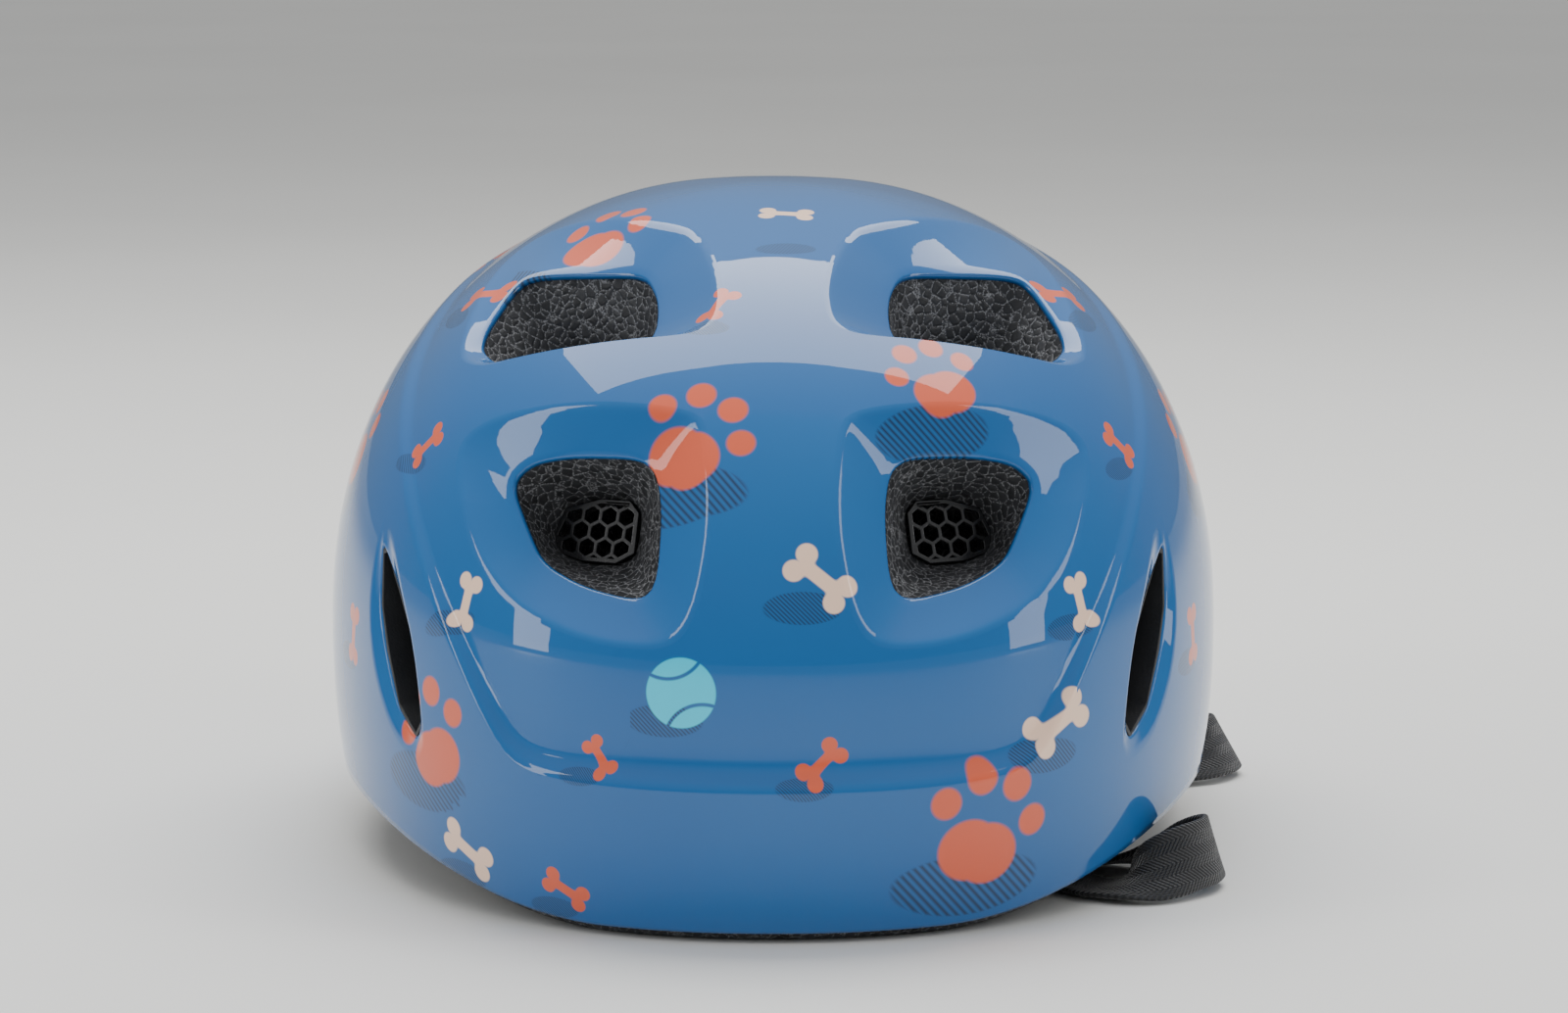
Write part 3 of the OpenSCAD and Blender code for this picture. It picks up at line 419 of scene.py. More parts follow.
side_slot = vent(-51.7, WAIST + 8.8,
    [[-17, 24], [-12, 25], [-2, 14], [8, 0], [12, -21], [7, -27], [-4, -22], [-13, -10], [-17.5, 5]], 2.2,
    [[-14, 18.5], [-12.5, 19], [-4, 10], [5.5, -2], [9, -19], [6.5, -22], [-2.5, -17],
        [-10.5, -5], [-14, 5.5]], None, 11)
rear_vent = vent(-148, WAIST + 51,
    [[-20, 20], [-12, 27], [10, 25], [19, 16], [20, -10], [14, -20], [-8, -22], [-18, -12]], 6,
    [[-14, 14], [-9, 18], [7, 17], [13, 11], [13, -8], [9, -13], [-6, -14], [-13, -8]],
    [[-9, 8], [-5, 10], [5, 9], [8, 6], [8, -4], [5, -7], [-4, -8], [-8, -4]], 28)
low_vent = vent(-132, WAIST + 5,
    [[-12, 18], [-6, 24], [8, 22], [14, 12], [13, -12], [7, -20], [-5, -20], [-12, -12]], 6,
    [[-7, 13], [-3, 17], [5, 15], [8, 8], [8, -9], [4, -14], [-3, -14], [-7, -8]],
    [[-4, 8], [-2, 10], [3, 9], [5, 5], [5, -5], [3, -8], [-2, -8], [-4, -5]], 26)

def mirrored(v):
    """The same vent on the other side: x changes sign, and so does its own s axis."""
    m = np.array([-1, 1, 1])
    return dict(v, c=v["c"] * m, n=v["n"] * m, u=v["u"] * m, s=v["s"] * m)

VENTS = [w for v in (front_vent, top_vent, side_slot, rear_vent, low_vent) for w in (v, mirrored(v))]

def local(v, P):
    """Coordinates of P in the vent's frame: along, up, out."""
    d = P - v["c"]
    return np.stack([d @ v["s"], d @ v["u"], d @ v["n"]], -1)

def placed(v, q, height):
    """Points at the vent's own coordinates q, a height over its frame."""
    return v["c"] + q[:, :1] * v["s"] + q[:, 1:2] * v["u"] + np.broadcast_to(height, len(q))[:, None] * v["n"]

def loop_of(v, which, per=24):
    P = v[which]
    u = np.arange(len(P) * per) / per
    return u, closed_curve(P, u, v["soft"][0 if which == "edge" else 1])

FAR = 9.0                                   # stands for a distance past every outline

def outside_of(v, which):
    """A function for cut(): signed distance to an outline, the edge on the form or the deep one on the hollow."""
    _, L = loop_of(v, which)
    reach = np.abs(L).max() + 3
    def f(P):
        q = local(v, P)
        near = (np.abs(q[:, :2]).max(1) < reach) & (q[:, 2] > -60) & (q[:, 2] < 15)
        near &= (level(P) > OUTER) == (which == "edge")
        out = np.full(len(P), FAR)
        out[near] = signed(q[near, :2], L)
        return out
    return f

def ordered(v, which, P, index):
    """Sorts new edge points by their place on the outline; returns that place and the indices."""
    u, L = loop_of(v, which)
    q = local(v, P[index])[:, :2]
    k = np.linalg.norm(q[:, None] - L, axis=-1).argmin(1)
    e = np.roll(L, -1, 0)[k] - L[k]
    t = ((q - L[k]) * e).sum(1) / (e * e).sum(1)
    place = np.mod(u[k] + t * (u[1] - u[0]), len(v[which]))
    o = np.argsort(place)
    return place[o], index[o]

print(len(VENTS), "vents")

# %% [markdown]
# ## The shell
# The shell is one sheet of clear polycarbonate, printed on its inside and
# vacuum-formed, about 1 mm thick. It is drawn as one surface: a grid of the
# form, cut at the vents, with each dish drawn down from its cut edge. The
# Solidify modifier then gives the sheet its wall.

# %% Dishes
def normals_at(V, T, index):
    """Vertex normals of a triangle mesh, weighted by area, at some points."""
    N = np.zeros_like(V)
    face = np.cross(V[T[:, 1]] - V[T[:, 0]], V[T[:, 2]] - V[T[:, 0]])
    for k in range(3):
        np.add.at(N, T[:, k], face)
    return unit(N[index])

def evened(P, N, reach=4.0):
    """Directions round a closed loop, each the mean of its neighbours weighted by exp(-d^2 / 2 reach^2)."""
    step = np.linalg.norm(np.roll(P, -1, 0) - P, axis=1)
    s = np.cumsum(step) - step
    d = np.abs(s[:, None] - s)
    d = np.minimum(d, step.sum() - d)
    return unit((np.exp(-d * d / (2 * reach * reach)) * (step + np.roll(step, 1))) @ N)

def right_handed(v):
    return np.dot(np.cross(v["s"], v["u"]), v["n"]) > 0

def dished(V, T, v, o, runs=(0.12, 0.24, 0.36, 0.52, 0.68, 0.84, 1.0), fillet=2.2):
    """Cuts a vent and draws its dish: x from the edge, the drop is m x^2 / 2a up to x = a, then m (x - a/2)."""
    V, T, new = cut(V, T, outside_of(v, "edge"))
    place, B = ordered(v, "edge", V, new)
    H2 = closed_curve(v["hole"], place, v["soft"][1])
    H = placed(v, H2, -v["depth"] - o)
    N = evened(V[B], normals_at(V, T, B))
    e = H - V[B]
    drop = -(e * N).sum(1, keepdims=True)
    flat = e + N * drop
    R = np.linalg.norm(flat, axis=1, keepdims=True)
    a = np.minimum(fillet, R * 0.4)
    m = drop / (R - a / 2)
    loops = [B]
    for x in [a * k for k in (0.35, 0.7, 1.0)] + [a + (R - a) * k for k in runs]:
        down = np.where(x < a, m * x * x / (2 * a), m * (x - a / 2))
        loops.append(len(V) + np.arange(len(B)))
        V = np.concatenate([V, V[B] + flat / R * x - N * down])
    Q = rings(loops)
    T = np.concatenate([T, triangles(Q[:, ::-1] if right_handed(v) else Q)])
    return V, T, place, loops, H2

def more_loops(V, T, v, loop, points):
    """Adds rings below a loop and returns the last one."""
    loops = [loop]
    for P in points:
        loops.append(len(V) + np.arange(len(loop)))
        V = np.concatenate([V, P])
    Q = rings(loops)
    return V, np.concatenate([T, triangles(Q[:, ::-1] if right_handed(v) else Q)]), loops[-1]

def towards_middle(q, by):
    """Outline points moved by a distance towards their middle."""
    m = q.mean(0)
    return q - (q - m) / np.linalg.norm(q - m, axis=1, keepdims=True) * by

def form_rows(o, lift, n_low, n_up, columns):
    """Rows of the form from its lower edge to near the crown, with six rows across the step."""
    th = np.arange(columns) * 360 / columns
    up, lo = CROWN - o, TUCK - o
    b0, bc = beta(rim(th) + lift, up, lo), beta(crease(th), up, lo)
    bd = beta(np.minimum(crease(th) + STEP, TOP - 4), up, lo)
    t = [np.linspace(0, 1, n)[:, None] for n in (n_low, 7)]
    above = bd + (90 - bd) * np.arange(1, n_up)[:, None] / n_up
    return form(th[None], np.concatenate([b0 + (bc - b0) * t[0], bc + (bd - bc) * t[1][1:], above]), o)

def arch(y, g):
    """Half width and height of the arch that leaves the dial free: wider towards the back, by g more all round."""
    k = np.clip((y - 92) / 43, 0, 1)
    return 16 + g + 7.5 * k, 36.5 + g + 8 * k

def port(g):
    """A function for cut(): distance to the arch."""
    def f(P):
        w, h = arch(P[:, 1], g)
        z = P[:, 2] - (h - w)
        return np.where(P[:, 1] < 60, FAR, np.where(z < 0, np.abs(P[:, 0]) - w, np.hypot(P[:, 0], z) - w))
    return f

print("arch at the rear, half width and height:", arch(HALF_L, 0))

# %% Shell mesh
LIP = [(0.25, 0.12), (0.55, 0.5), (0.7, 1.3)]   # how the sheet rolls into a hole: inward, down
rows = form_rows(0, lift=2.5, n_low=50, n_up=48, columns=268)
V, T = dome_grid(rows, form(0.0, 90.0))
edges = []
for v in VENTS:
    V, T, place, loops, H2 = dished(V, T, v, 0)
    edges.append(loops[0])
    lip = [placed(v, towards_middle(H2, i), -v["depth"] - d) for i, d in LIP]
    V, T, _ = more_loops(V, T, v, loops[-1], lip)
V, T, _ = cut(V, T, port(1))
shell = piece("shell_skin", V, [T], None, sharp=edges)
SHEET = 0.9                                 # mm of polycarbonate
sheet = shell.modifiers.new("sheet", "SOLIDIFY")
sheet.thickness, sheet.offset = SHEET * MM, -1
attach(shell, "helmet")
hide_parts("outer_shell")
print("shell:", len(T), "triangles, box", V.min(0).round(1), V.max(0).round(1))

# %% [markdown]
# ## The shell's print
# The film carries small flat prints: bones, balls and paw marks, each with a
# hatched shadow. Each kind is a distance field in a small square, made once as
# a node group. Every point of the shell stores where it lies in the square of
# its nearest print, so the shader reads one attribute for each kind and the
# prints stay sharp at any distance.

# %% Print places
# Laid out in coarse steps: angle from the front, height, turn, size in mm, ink.
# A pair lies alike on both sides.
CREAM, ORANGE = 1, 2
PAIRS = {
    "bone": [(40, 70, 10, 12, CREAM), (65, 55, 5, 13, ORANGE), (55, 100, 40, 11, ORANGE), (70, 130, 55, 14, ORANGE),
        (110, 95, -40, 15, CREAM), (100, 60, 30, 13, ORANGE), (130, 30, 45, 12, CREAM)],
    "paw": [(80, 95, -10, 28, ORANGE)],
    "ball": []}
SINGLES = {
    "bone": [(5, 80, 50, 15, CREAM), (5, 150, 80, 12, CREAM), (-25, 10, 60, 11, ORANGE), (-20, 40, 35, 9, ORANGE),
        (5, 40, -45, 11, ORANGE), (-10, 135, -20, 11, ORANGE), (-40, 15, 60, 15, CREAM), (35, 45, -60, 16, CREAM),
        (170, 130, 30, 14, CREAM), (-175, 70, -35, 14, ORANGE)],
    "paw": [(-45, 40, 20, 28, ORANGE), (25, 25, -15, 32, ORANGE), (-10, 110, -25, 28, ORANGE),
        (25, 120, 10, 24, ORANGE), (-60, 145, 30, 26, ORANGE), (155, 90, -15, 28, ORANGE), (110, 40, 20, 24, ORANGE),
        (-105, 130, -20, 26, ORANGE), (-150, 110, 10, 28, ORANGE)],
    "ball": [(-10, 55, 20, 15, CREAM), (120, 130, 10, 15, CREAM)]}

PRINTS = {}
for kind, pairs in PAIRS.items():
    both = [(side * a, z, side * turn, size, ink) for a, z, turn, size, ink in pairs for side in (1, -1)]
    PRINTS[kind] = both + SINGLES[kind]
# every print throws a shadow a little to one side and below
PRINTS["shadow"] = [(a - 2, z - 0.42 * size, 0, 1.1 * size, CREAM)
    for prints in PRINTS.values() for a, z, turn, size, ink in prints]

HALF = {"bone": 0.5, "paw": 0.5, "ball": 0.5, "shadow": 0.21}   # half height of each print, its size being 1
MARGIN = 4.4       # mm round a print that still belong to its square
BETWEEN = 3.0      # mm, a bare strip halfway between two prints, wider than a triangle, so their squares never mix

def nearest_print(V, prints, half_height):
    """For each point: x and y in its nearest print's square, and that print's ink, or 0 where none is near."""
    best = second = np.full(len(V), 1e9)
    out = np.zeros((len(V), 3))
    for angle, z, turn, size, ink in prints:
        n = outward(angle, z)
        u = unit(np.array([0, 0, 1]) - n * n[2])
        s = np.cross(u, n)
        c, k = math.cos(turn * RAD), math.sin(turn * RAD)
        d = V - at_height(angle, z)
        x, y = d @ (s * c + u * k) / size, d @ (u * c - s * k) / size
        far = np.linalg.norm(d, axis=1)
        closer = far < best
        in_square = (np.abs(x) < 0.5 + MARGIN / size) & (np.abs(y) < half_height + MARGIN / size)
        near = in_square & (far < size * 0.9 + 8)
        out[closer] = np.stack([x, y, near * ink], -1)[closer]
        second = np.minimum(second, np.maximum(best, far))
        best = np.minimum(best, far)
    out[second - best < BETWEEN, 2] = 0
    return out

for kind, prints in PRINTS.items():
    place = shell.data.attributes.new(kind + "_place", "FLOAT_VECTOR", "POINT")
    place.data.foreach_set("vector", nearest_print(V, prints, HALF[kind]).ravel())
print({kind: len(prints) for kind, prints in PRINTS.items()})

# %% Print shapes
def mask_group(kind, distance):
    """A node group: Place in, Mask and Ink out. distance(group, flat, x, y) is a field below 0 inside the print."""
    group = bpy.data.node_groups.new(kind + "_mask", "ShaderNodeTree")
    for name, way, sort in (("Place", "INPUT", "Vector"), ("Mask", "OUTPUT", "Float"), ("Ink", "OUTPUT", "Float")):
        group.interface.new_socket(name, in_out=way, socket_type="NodeSocket" + sort)
    place = add(group, "NodeGroupInput")
    flat = add(group, "VectorMath", place, (1, 1, 0), operation="MULTIPLY")
    part = add(group, "SeparateXYZ", place).node.outputs
    mask = add(group, "MapRange", distance(group, flat, part["X"], part["Y"]), 0.012, -0.012, 0.0, 1.0)
    near = add(group, "Math", part["Z"], 0.99, operation="GREATER_THAN")
    ink = add(group, "Math", part["Z"], 1.5, operation="GREATER_THAN")
    add(group, "NodeGroupOutput", add(group, "Math", mask, near, operation="MULTIPLY"), ink)
    return group

def bone_distance(g, flat, x, y):
    """Two knobs at each end, |p|-(0.15, 0.36) to radius 0.155, joined to a shaft by a smooth minimum."""
    corner = add(g, "VectorMath", flat, operation="ABSOLUTE")
    knob = add(g, "VectorMath", corner, (0.15, 0.36, 0), operation="DISTANCE")
    knob = add(g, "Math", knob, 0.155, operation="SUBTRACT")
    side = add(g, "Math", add(g, "Math", x, operation="ABSOLUTE"), 0.105, operation="SUBTRACT")
    end = add(g, "Math", add(g, "Math", y, operation="ABSOLUTE"), 0.34, operation="SUBTRACT")
    return add(g, "Math", knob, add(g, "Math", side, end, operation="MAXIMUM"), 0.09, operation="SMOOTH_MIN")

def paw_distance(g, flat, x, y):
    """A broad pad, an ellipse mirrored by |x|, and four round toes."""
    half = add(g, "CombineXYZ", add(g, "Math", x, operation="ABSOLUTE"), y, 0.0)
    low = add(g, "VectorMath", half, (0.07, -0.2, 0), operation="SUBTRACT")
    low = add(g, "VectorMath", low, (4.2, 4.6, 0), operation="MULTIPLY")
    pad = add(g, "Math", add(g, "VectorMath", low, operation="LENGTH"), 1.0, operation="SUBTRACT")
    field = add(g, "Math", pad, 0.22, operation="MULTIPLY")
    for middle, radius in (((0.145, 0.3, 0), 0.115), ((0.36, 0.08, 0), 0.11)):
        toe = add(g, "Math", add(g, "VectorMath", half, middle, operation="DISTANCE"), radius, operation="SUBTRACT")
        field = add(g, "Math", field, toe, operation="MINIMUM")
    return field

def ball_distance(g, flat, x, y):
    """A disc of radius 0.5 less two seams, arcs of radius 0.56 about (0.06, 0.78) and (0.06, -0.78)."""
    disc = add(g, "Math", add(g, "VectorMath", flat, operation="LENGTH"), 0.5, operation="SUBTRACT")
    half = add(g, "CombineXYZ", x, add(g, "Math", y, operation="ABSOLUTE"), 0.0)
    arc = add(g, "VectorMath", half, (0.06, 0.78, 0), operation="DISTANCE")
    arc = add(g, "Math", arc, 0.56, operation="SUBTRACT")
    seam = add(g, "Math", 0.026, add(g, "Math", arc, operation="ABSOLUTE"), operation="SUBTRACT")
    return add(g, "Math", disc, seam, operation="MAXIMUM")

def shadow_distance(g, flat, x, y):
    """An ellipse 2.4 times as wide as high, cut into thin leaning lines."""
    squeezed = add(g, "VectorMath", flat, (1, 2.4, 0), operation="MULTIPLY")
    oval = add(g, "Math", add(g, "VectorMath", squeezed, operation="LENGTH"), 0.5, operation="SUBTRACT")
    oval = add(g, "Math", oval, 0.5, operation="MULTIPLY")
    line = add(g, "Math", add(g, "Math", x, y, operation="ADD"), 0.03, operation="PINGPONG")
    line = add(g, "Math", line, 0.013, operation="SUBTRACT")
    return add(g, "Math", oval, line, operation="MAXIMUM")

def printed_polycarbonate(tree):
    # clear polycarbonate sheet with ink behind it, vacuum-formed: a deep wet gloss over flat colour
    where = points_of(tree)
    tone = add(tree, "ValToRGB", add(tree, "TexNoise", where, 14.0, 2.0))
    tone.node.color_ramp.elements[0].color = linear("#155a9a")
    tone.node.color_ramp.elements[1].color = linear("#1c66a6")
    dark, turquoise, cream, orange = "#173453", "#22cfee", "#f6d3bb", "#dd5f3f"
    prints = [("shadow", shadow_distance, dark, dark), ("bone", bone_distance, cream, orange),
        ("paw", paw_distance, cream, orange), ("ball", ball_distance, turquoise, turquoise)]
    for kind, shape, pale, deep in prints:
        place = add(tree, "Attribute", attribute_type="GEOMETRY", attribute_name=kind + "_place").node
        mask = add(tree, "Group", place.outputs["Vector"], node_tree=mask_group(kind, shape))
        which = mask.node.outputs["Ink"]
        ink = add(tree, "Mix", {"Factor": which, 6: linear(pale), 7: linear(deep)}, data_type="RGBA")
        tone = add(tree, "Mix", {"Factor": mask, 6: tone, 7: ink}, data_type="RGBA")
    # the drawn sheet is never quite flat: a slow ripple about 40 mm long
    slow = add(tree, "TexNoise", where, 26.0, 1.0)
    ripple = add(tree, "Bump", {"Strength": 0.12, "Distance": 0.0003, "Height": slow})
    return add(tree, "BsdfPrincipled", {"Base Color": tone, "Roughness": 0.5, "Specular IOR Level": 0.1,
        "Coat Weight": 1.0, "Coat Roughness": 0.015, "Coat IOR": 1.5, "Coat Normal": ripple})

shell.data.materials.append(material("printed_polycarbonate", printed_polycarbonate))
print("print finished")

# %% [markdown]
# ## The foam liner
# The liner is expanded polystyrene, steam-fused in a mould from black beads
# about 2 mm across. It is one closed surface: the form set in by the sheet,
# round the lower edge and up into the head hollow. The vents cut both faces,
# and each duct joins the dish's hole to its smaller opening inside.

# %% Liner mesh
def by_angle(L, q):
    """A function that gives an outline's point at an angle about its middle, and the angles of points q."""
    m = L.mean(0)
    own, angles = (np.mod(np.arctan2(*(p - m).T[::-1]), 2 * np.pi) for p in (L, q))
    o = np.argsort(own)
    own, P = np.r_[own[o][-1] - 2 * np.pi, own[o], own[o][0] + 2 * np.pi], L[np.r_[o[-1], o, o[0]]]
    return (lambda a: np.stack([np.interp(a, own, P[:, 0]), np.interp(a, own, P[:, 1])], -1)), angles

SKIN = 1.2                                  # sheet and gap
INSIDE = 0.77                               # the inner edge rises this share of the outer one
FILLET = 3.6                                # radius of the liner's lower edges
columns = 216
th = np.arange(columns) * 360 / columns
outer_rows = form_rows(SKIN, lift=3, n_low=30, n_up=34, columns=columns)
edge_out = at_height(th, rim(th) + 0.01, SKIN)
edge_in = wall(th, rim(th) * INSIDE)
across = np.array([0.5, 1.3, 2.4])[:, None, None]
span = unit(edge_in - edge_out)
lift = FILLET - np.sqrt(FILLET ** 2 - (FILLET - across) ** 2)
fillet_out = edge_out + span * across + np.array([0, 0, 1]) * lift
share = np.array([0.25, 0.5, 0.75])[:, None, None]
flat = edge_out + (edge_in - edge_out) * share
fillet_in = edge_in - span * across[::-1] + np.array([0, 0, 1]) * lift[::-1]
z0 = rim(th) * INSIDE + 3
b0 = -np.arcsin(((WAIST - z0) / CAV_TUCK) ** (SECTION / 2)) / RAD
b = b0 + (90 - b0) * np.arange(44)[:, None] / 44
zb = WAIST + np.where(b > 0, CAV_RISE, CAV_TUCK) * power(np.sin(b * RAD), 2 / SECTION)
inner_rows = wall(th[None], zb)[::-1]
rows = np.concatenate([inner_rows, fillet_in[::-1], flat[::-1], fillet_out[::-1], outer_rows])
V, T = dome_grid(rows, form(0.0, 90.0, SKIN))
V = np.concatenate([V, [[0, CAV_Y, WAIST + CAV_RISE]]])
T = np.concatenate([T, fan(np.arange(columns), len(V) - 1, flip=True)])

POCKET = [(-0.2, 3.6), (0.6, 7), (1.2, 11.4)]   # the side slot's wall: inward, down
TURNS = np.arange(0, 7, 0.05)               # a little more than once round, in radians
edges = []
for v in VENTS:
    V, T, _, loops, H2 = dished(V, T, v, SKIN, (0.35, 0.7, 1.0))
    edges += [loops[0], loops[-1]]
    if v["deep"] is None:                    # a blind pocket, closed by a fan
        down = [placed(v, towards_middle(H2, i), -d) for i, d in POCKET]
        V, T, last = more_loops(V, T, v, loops[-1], down)
        V = np.concatenate([V, [V[last].mean(0)]])
        end = fan(last, len(V) - 1)
        T = np.concatenate([T, end[:, ::-1] if right_handed(v) else end])
        continue
    _, D = loop_of(v, "deep")
    V, T, new = cut(V, T, outside_of(v, "deep"))
    at, here = by_angle(D, local(v, V[new])[:, :2])
    order = np.argsort(here)
    here, inside = here[order], new[order]
    floor_z = np.interp(TURNS, here, local(v, V[inside])[:, 2])
    _, a = by_angle(loop_of(v, "hole")[1], H2)
    low = np.maximum(-v["through"], np.interp(a, TURNS, floor_z) + 1)
    top_z = -v["depth"] - SKIN
    walls = []
    for k in (0.04, 0.3, 0.65, 1.0):
        walls.append(placed(v, H2 * (1 - k) + at(a) * k, top_z + (low - top_z) * max(k, 0.08)))
    V, T, last = more_loops(V, T, v, loops[-1], walls)
    o = np.argsort(a)
    Z = zipper(last[o], a[o], inside, here)
    T = np.concatenate([T, Z if right_handed(v) else Z[:, ::-1]])

V, T, new = cut(V, T, port(0))
w, h = arch(V[new, 1], 0)
x, z = V[new, 0], V[new, 2] - (h - w)
run = np.where(z >= 0, 2 - np.arctan2(z, x) / np.pi, np.where(x < 0, 1 + z / (h - w), 2 - z / (h - w)))
lev = level(V[new])
outer, end = lev > OUTER, np.where(x < 0, 1, -1)
# level() breaks ties at the two ends, where the cut runs across the lower edge
ua, ub = (run + 0.01 * lev * end)[outer], (run - 0.01 * lev * end)[~outer]
A, B = new[outer][np.argsort(ua)], new[~outer][np.argsort(ub)]
T = np.concatenate([T, zipper(A, np.sort(ua), B, np.sort(ub), closed=False)])
liner = piece("foam_liner", V, [T], None, sharp=edges)
print("liner:", len(T), "triangles")

# %% [markdown]
# ## Foam finish
# The moulded skin of the beads shows as flat cells with small pits where three
# beads meet, and thin grey outlines that are a painted glint on the bead edges.
# A Voronoi texture gives the cells, its distance to the edge gives the painted
# outlines and the pits, and Object coordinates keep the beads one size all over.

# %% Foam
def moulded_bead_foam(tree):
    # black expanded polystyrene: fused beads, a dull skin with a slight sheen on each bead
    where = points_of(tree)
    bead = add(tree, "TexVoronoi", where, 480.0, feature="F1").node.outputs["Color"]
    border = add(tree, "TexVoronoi", where, 480.0, feature="DISTANCE_TO_EDGE")
    grain = add(tree, "TexNoise", where, 2600.0, 2.0)
    tone = add(tree, "Mix", {"Factor": bead, 6: linear("#232426"), 7: linear("#3d3e41")}, data_type="RGBA")
    # pale grey outlines along the bead edges: a painted glint, broken up by fine grain
    seam = add(tree, "MapRange", border, 0.0, 0.11, 1.0, 0.0)
    broken_glint = add(tree, "Math", seam, add(tree, "MapRange", grain, 0.42, 0.6, 0.0, 1.0), operation="MULTIPLY")
    tone = add(tree, "Mix", {"Factor": broken_glint, 6: tone, 7: linear("#96979a")}, data_type="RGBA")
    domed = add(tree, "MapRange", border, 0.0, 0.25, 0.0, 1.0)
    rise = add(tree, "Math", domed, add(tree, "Math", grain, 0.25, operation="MULTIPLY"), operation="ADD")
    bump = add(tree, "Bump", {"Strength": 0.7, "Distance": 0.0002, "Height": rise})
    return add(tree, "BsdfPrincipled",
        {"Base Color": tone, "Roughness": 0.52, "Specular IOR Level": 0.45, "Normal": bump})

liner.data.materials.append(material("moulded_bead_foam", moulded_bead_foam))
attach(liner, "helmet")
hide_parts("eps_liner")
print("foam on", liner.name)

# %% [markdown]
# ## Moulded parts
# The ring, dial, anchors, dividers and buckle are injection moulded, and their
# modelled solids are already the right shape. They only need what the mould
# leaves: edges with a small radius and a fine matt spark-eroded texture. A
# small node modifier joins the loose triangles and shades curves smooth, and a
# Bevel rounds each real corner.

# %% Plastic finishes
def spark_texture(tree, scale, strength):
    """Spark-eroded mould face: noise of half a millimetre to one, coarser than real so that it shows."""
    where = points_of(tree)
    fine = add(tree, "TexNoise", where, scale, 3.0)
    return where, fine, add(tree, "Bump", {"Strength": strength, "Distance": 0.00012, "Height": fine})

def matt_black_nylon(tree):
    # injection-moulded nylon: a fine matt grain, a little brighter where it is rubbed
    where, fine, bump = spark_texture(tree, 1900.0, 0.5)
    tone = add(tree, "Mix", {"Factor": fine, 6: linear("#151618"), 7: linear("#26272a")}, data_type="RGBA")
    rough = add(tree, "MapRange", add(tree, "TexNoise", where, 120.0), 0.3, 0.7, 0.36, 0.5)
    return add(tree, "BsdfPrincipled", {"Base Color": tone, "Roughness": rough, "Normal": bump})

def satin_grey_band(tree):
    # thin polypropylene strip, slightly translucent grey-black with a satin skin
    _, fine, bump = spark_texture(tree, 1200.0, 0.25)
    tone = add(tree, "Mix", {"Factor": fine, 6: linear("#222327"), 7: linear("#2f3034")}, data_type="RGBA")
    return add(tree, "BsdfPrincipled",
        {"Base Color": tone, "Roughness": 0.4, "Coat Weight": 0.15, "Coat Roughness": 0.3, "Normal": bump})

def bright_black_net(tree):
    # stamped insect net: soft black plastic with a clear shine on each web
    _, fine, bump = spark_texture(tree, 900.0, 0.2)
    tone = add(tree, "Mix", {"Factor": fine, 6: linear("#101113"), 7: linear("#1b1c1f")}, data_type="RGBA")
    return add(tree, "BsdfPrincipled",
        {"Base Color": tone, "Roughness": 0.22, "Coat Weight": 0.5, "Coat Roughness": 0.1, "Normal": bump})

def hook_tape(tree):
    # woven nylon tape set with small hooks in rows about 1.5 mm apart
    where = points_of(tree)
    hooks = add(tree, "TexVoronoi", where, 700.0, feature="F1", distance="CHEBYCHEV")
    tone = add(tree, "Mix", {"Factor": hooks, 6: linear("#2c2d30"), 7: linear("#0f1011")}, data_type="RGBA")
    bump = add(tree, "Bump", {"Strength": 0.9, "Distance": 0.0004, "Height": hooks})
    return add(tree, "BsdfPrincipled", {"Base Color": tone, "Roughness": 0.8, "Sheen Weight": 0.3, "Normal": bump})

NYLON, BAND, NET, HOOK = (material(build.__name__, build)
    for build in (matt_black_nylon, satin_grey_band, bright_black_net, hook_tape))
print("plastics ready")

# %% Soft edges on the moulded parts
smooth = bpy.data.node_groups.new("join_and_shade", "GeometryNodeTree")
smooth.interface.new_socket("Geometry", in_out="INPUT", socket_type="NodeSocketGeometry")
smooth.interface.new_socket("Geometry", in_out="OUTPUT", socket_type="NodeSocketGeometry")
joined = add(smooth, "GeometryNodeMergeByDistance", {"Geometry": add(smooth, "NodeGroupInput"), "Distance": 0.00001})
shaded = add(smooth, "GeometryNodeSetShadeSmooth", {"Geometry": joined, "Shade Smooth": True}, domain="FACE")
turned = add(smooth, "GeometryNodeInputMeshEdgeAngle")
steep = add(smooth, "FunctionNodeCompare", {0: turned, 1: 28 * RAD}, operation="GREATER_THAN")
crisp = add(smooth, "GeometryNodeSetShadeSmooth",
    {"Geometry": shaded, "Selection": steep, "Shade Smooth": False}, domain="EDGE")
add(smooth, "NodeGroupOutput", crisp)

def finish_part(node, mat, radius=0.3):
    """Gives a carried-over part its material, smooth curves and rounded corners of a radius in mm."""
    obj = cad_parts[node]
    obj.data.materials.clear()
    obj.data.materials.append(mat)
    obj.modifiers.new("join_and_shade", "NODES").node_group = smooth
    if radius:
        bevel = obj.modifiers.new("corner", "BEVEL")
        bevel.width, bevel.segments = radius * MM, 2
        bevel.limit_method, bevel.angle_limit = "ANGLE", 32 * RAD
        bevel.harden_normals = bevel.use_clamp_overlap = True

for side in ("_left", "_right"):
    finish_part("net" + side, NET, 0.2)
    for node in ("slot_insert", "anchor_front", "anchor_rear", "divider", "cam", "belt_guide"):
        finish_part(node + side, NYLON, 0.35)
for node in ("cradle_shell", "cradle_cover", "cradle_rail", "dial_knob", "buckle_male", "buckle_female",
        "prong_outer", "prong_inner"):
    finish_part(node, NYLON, 0.35)
for node in ("ring_band", "belt_left", "belt_right", "ring_clips", "dial_pinion"):
    finish_part(node, BAND, 0.12)
finish_part("hook_tabs", HOOK, 0)
print("moulded parts finished")
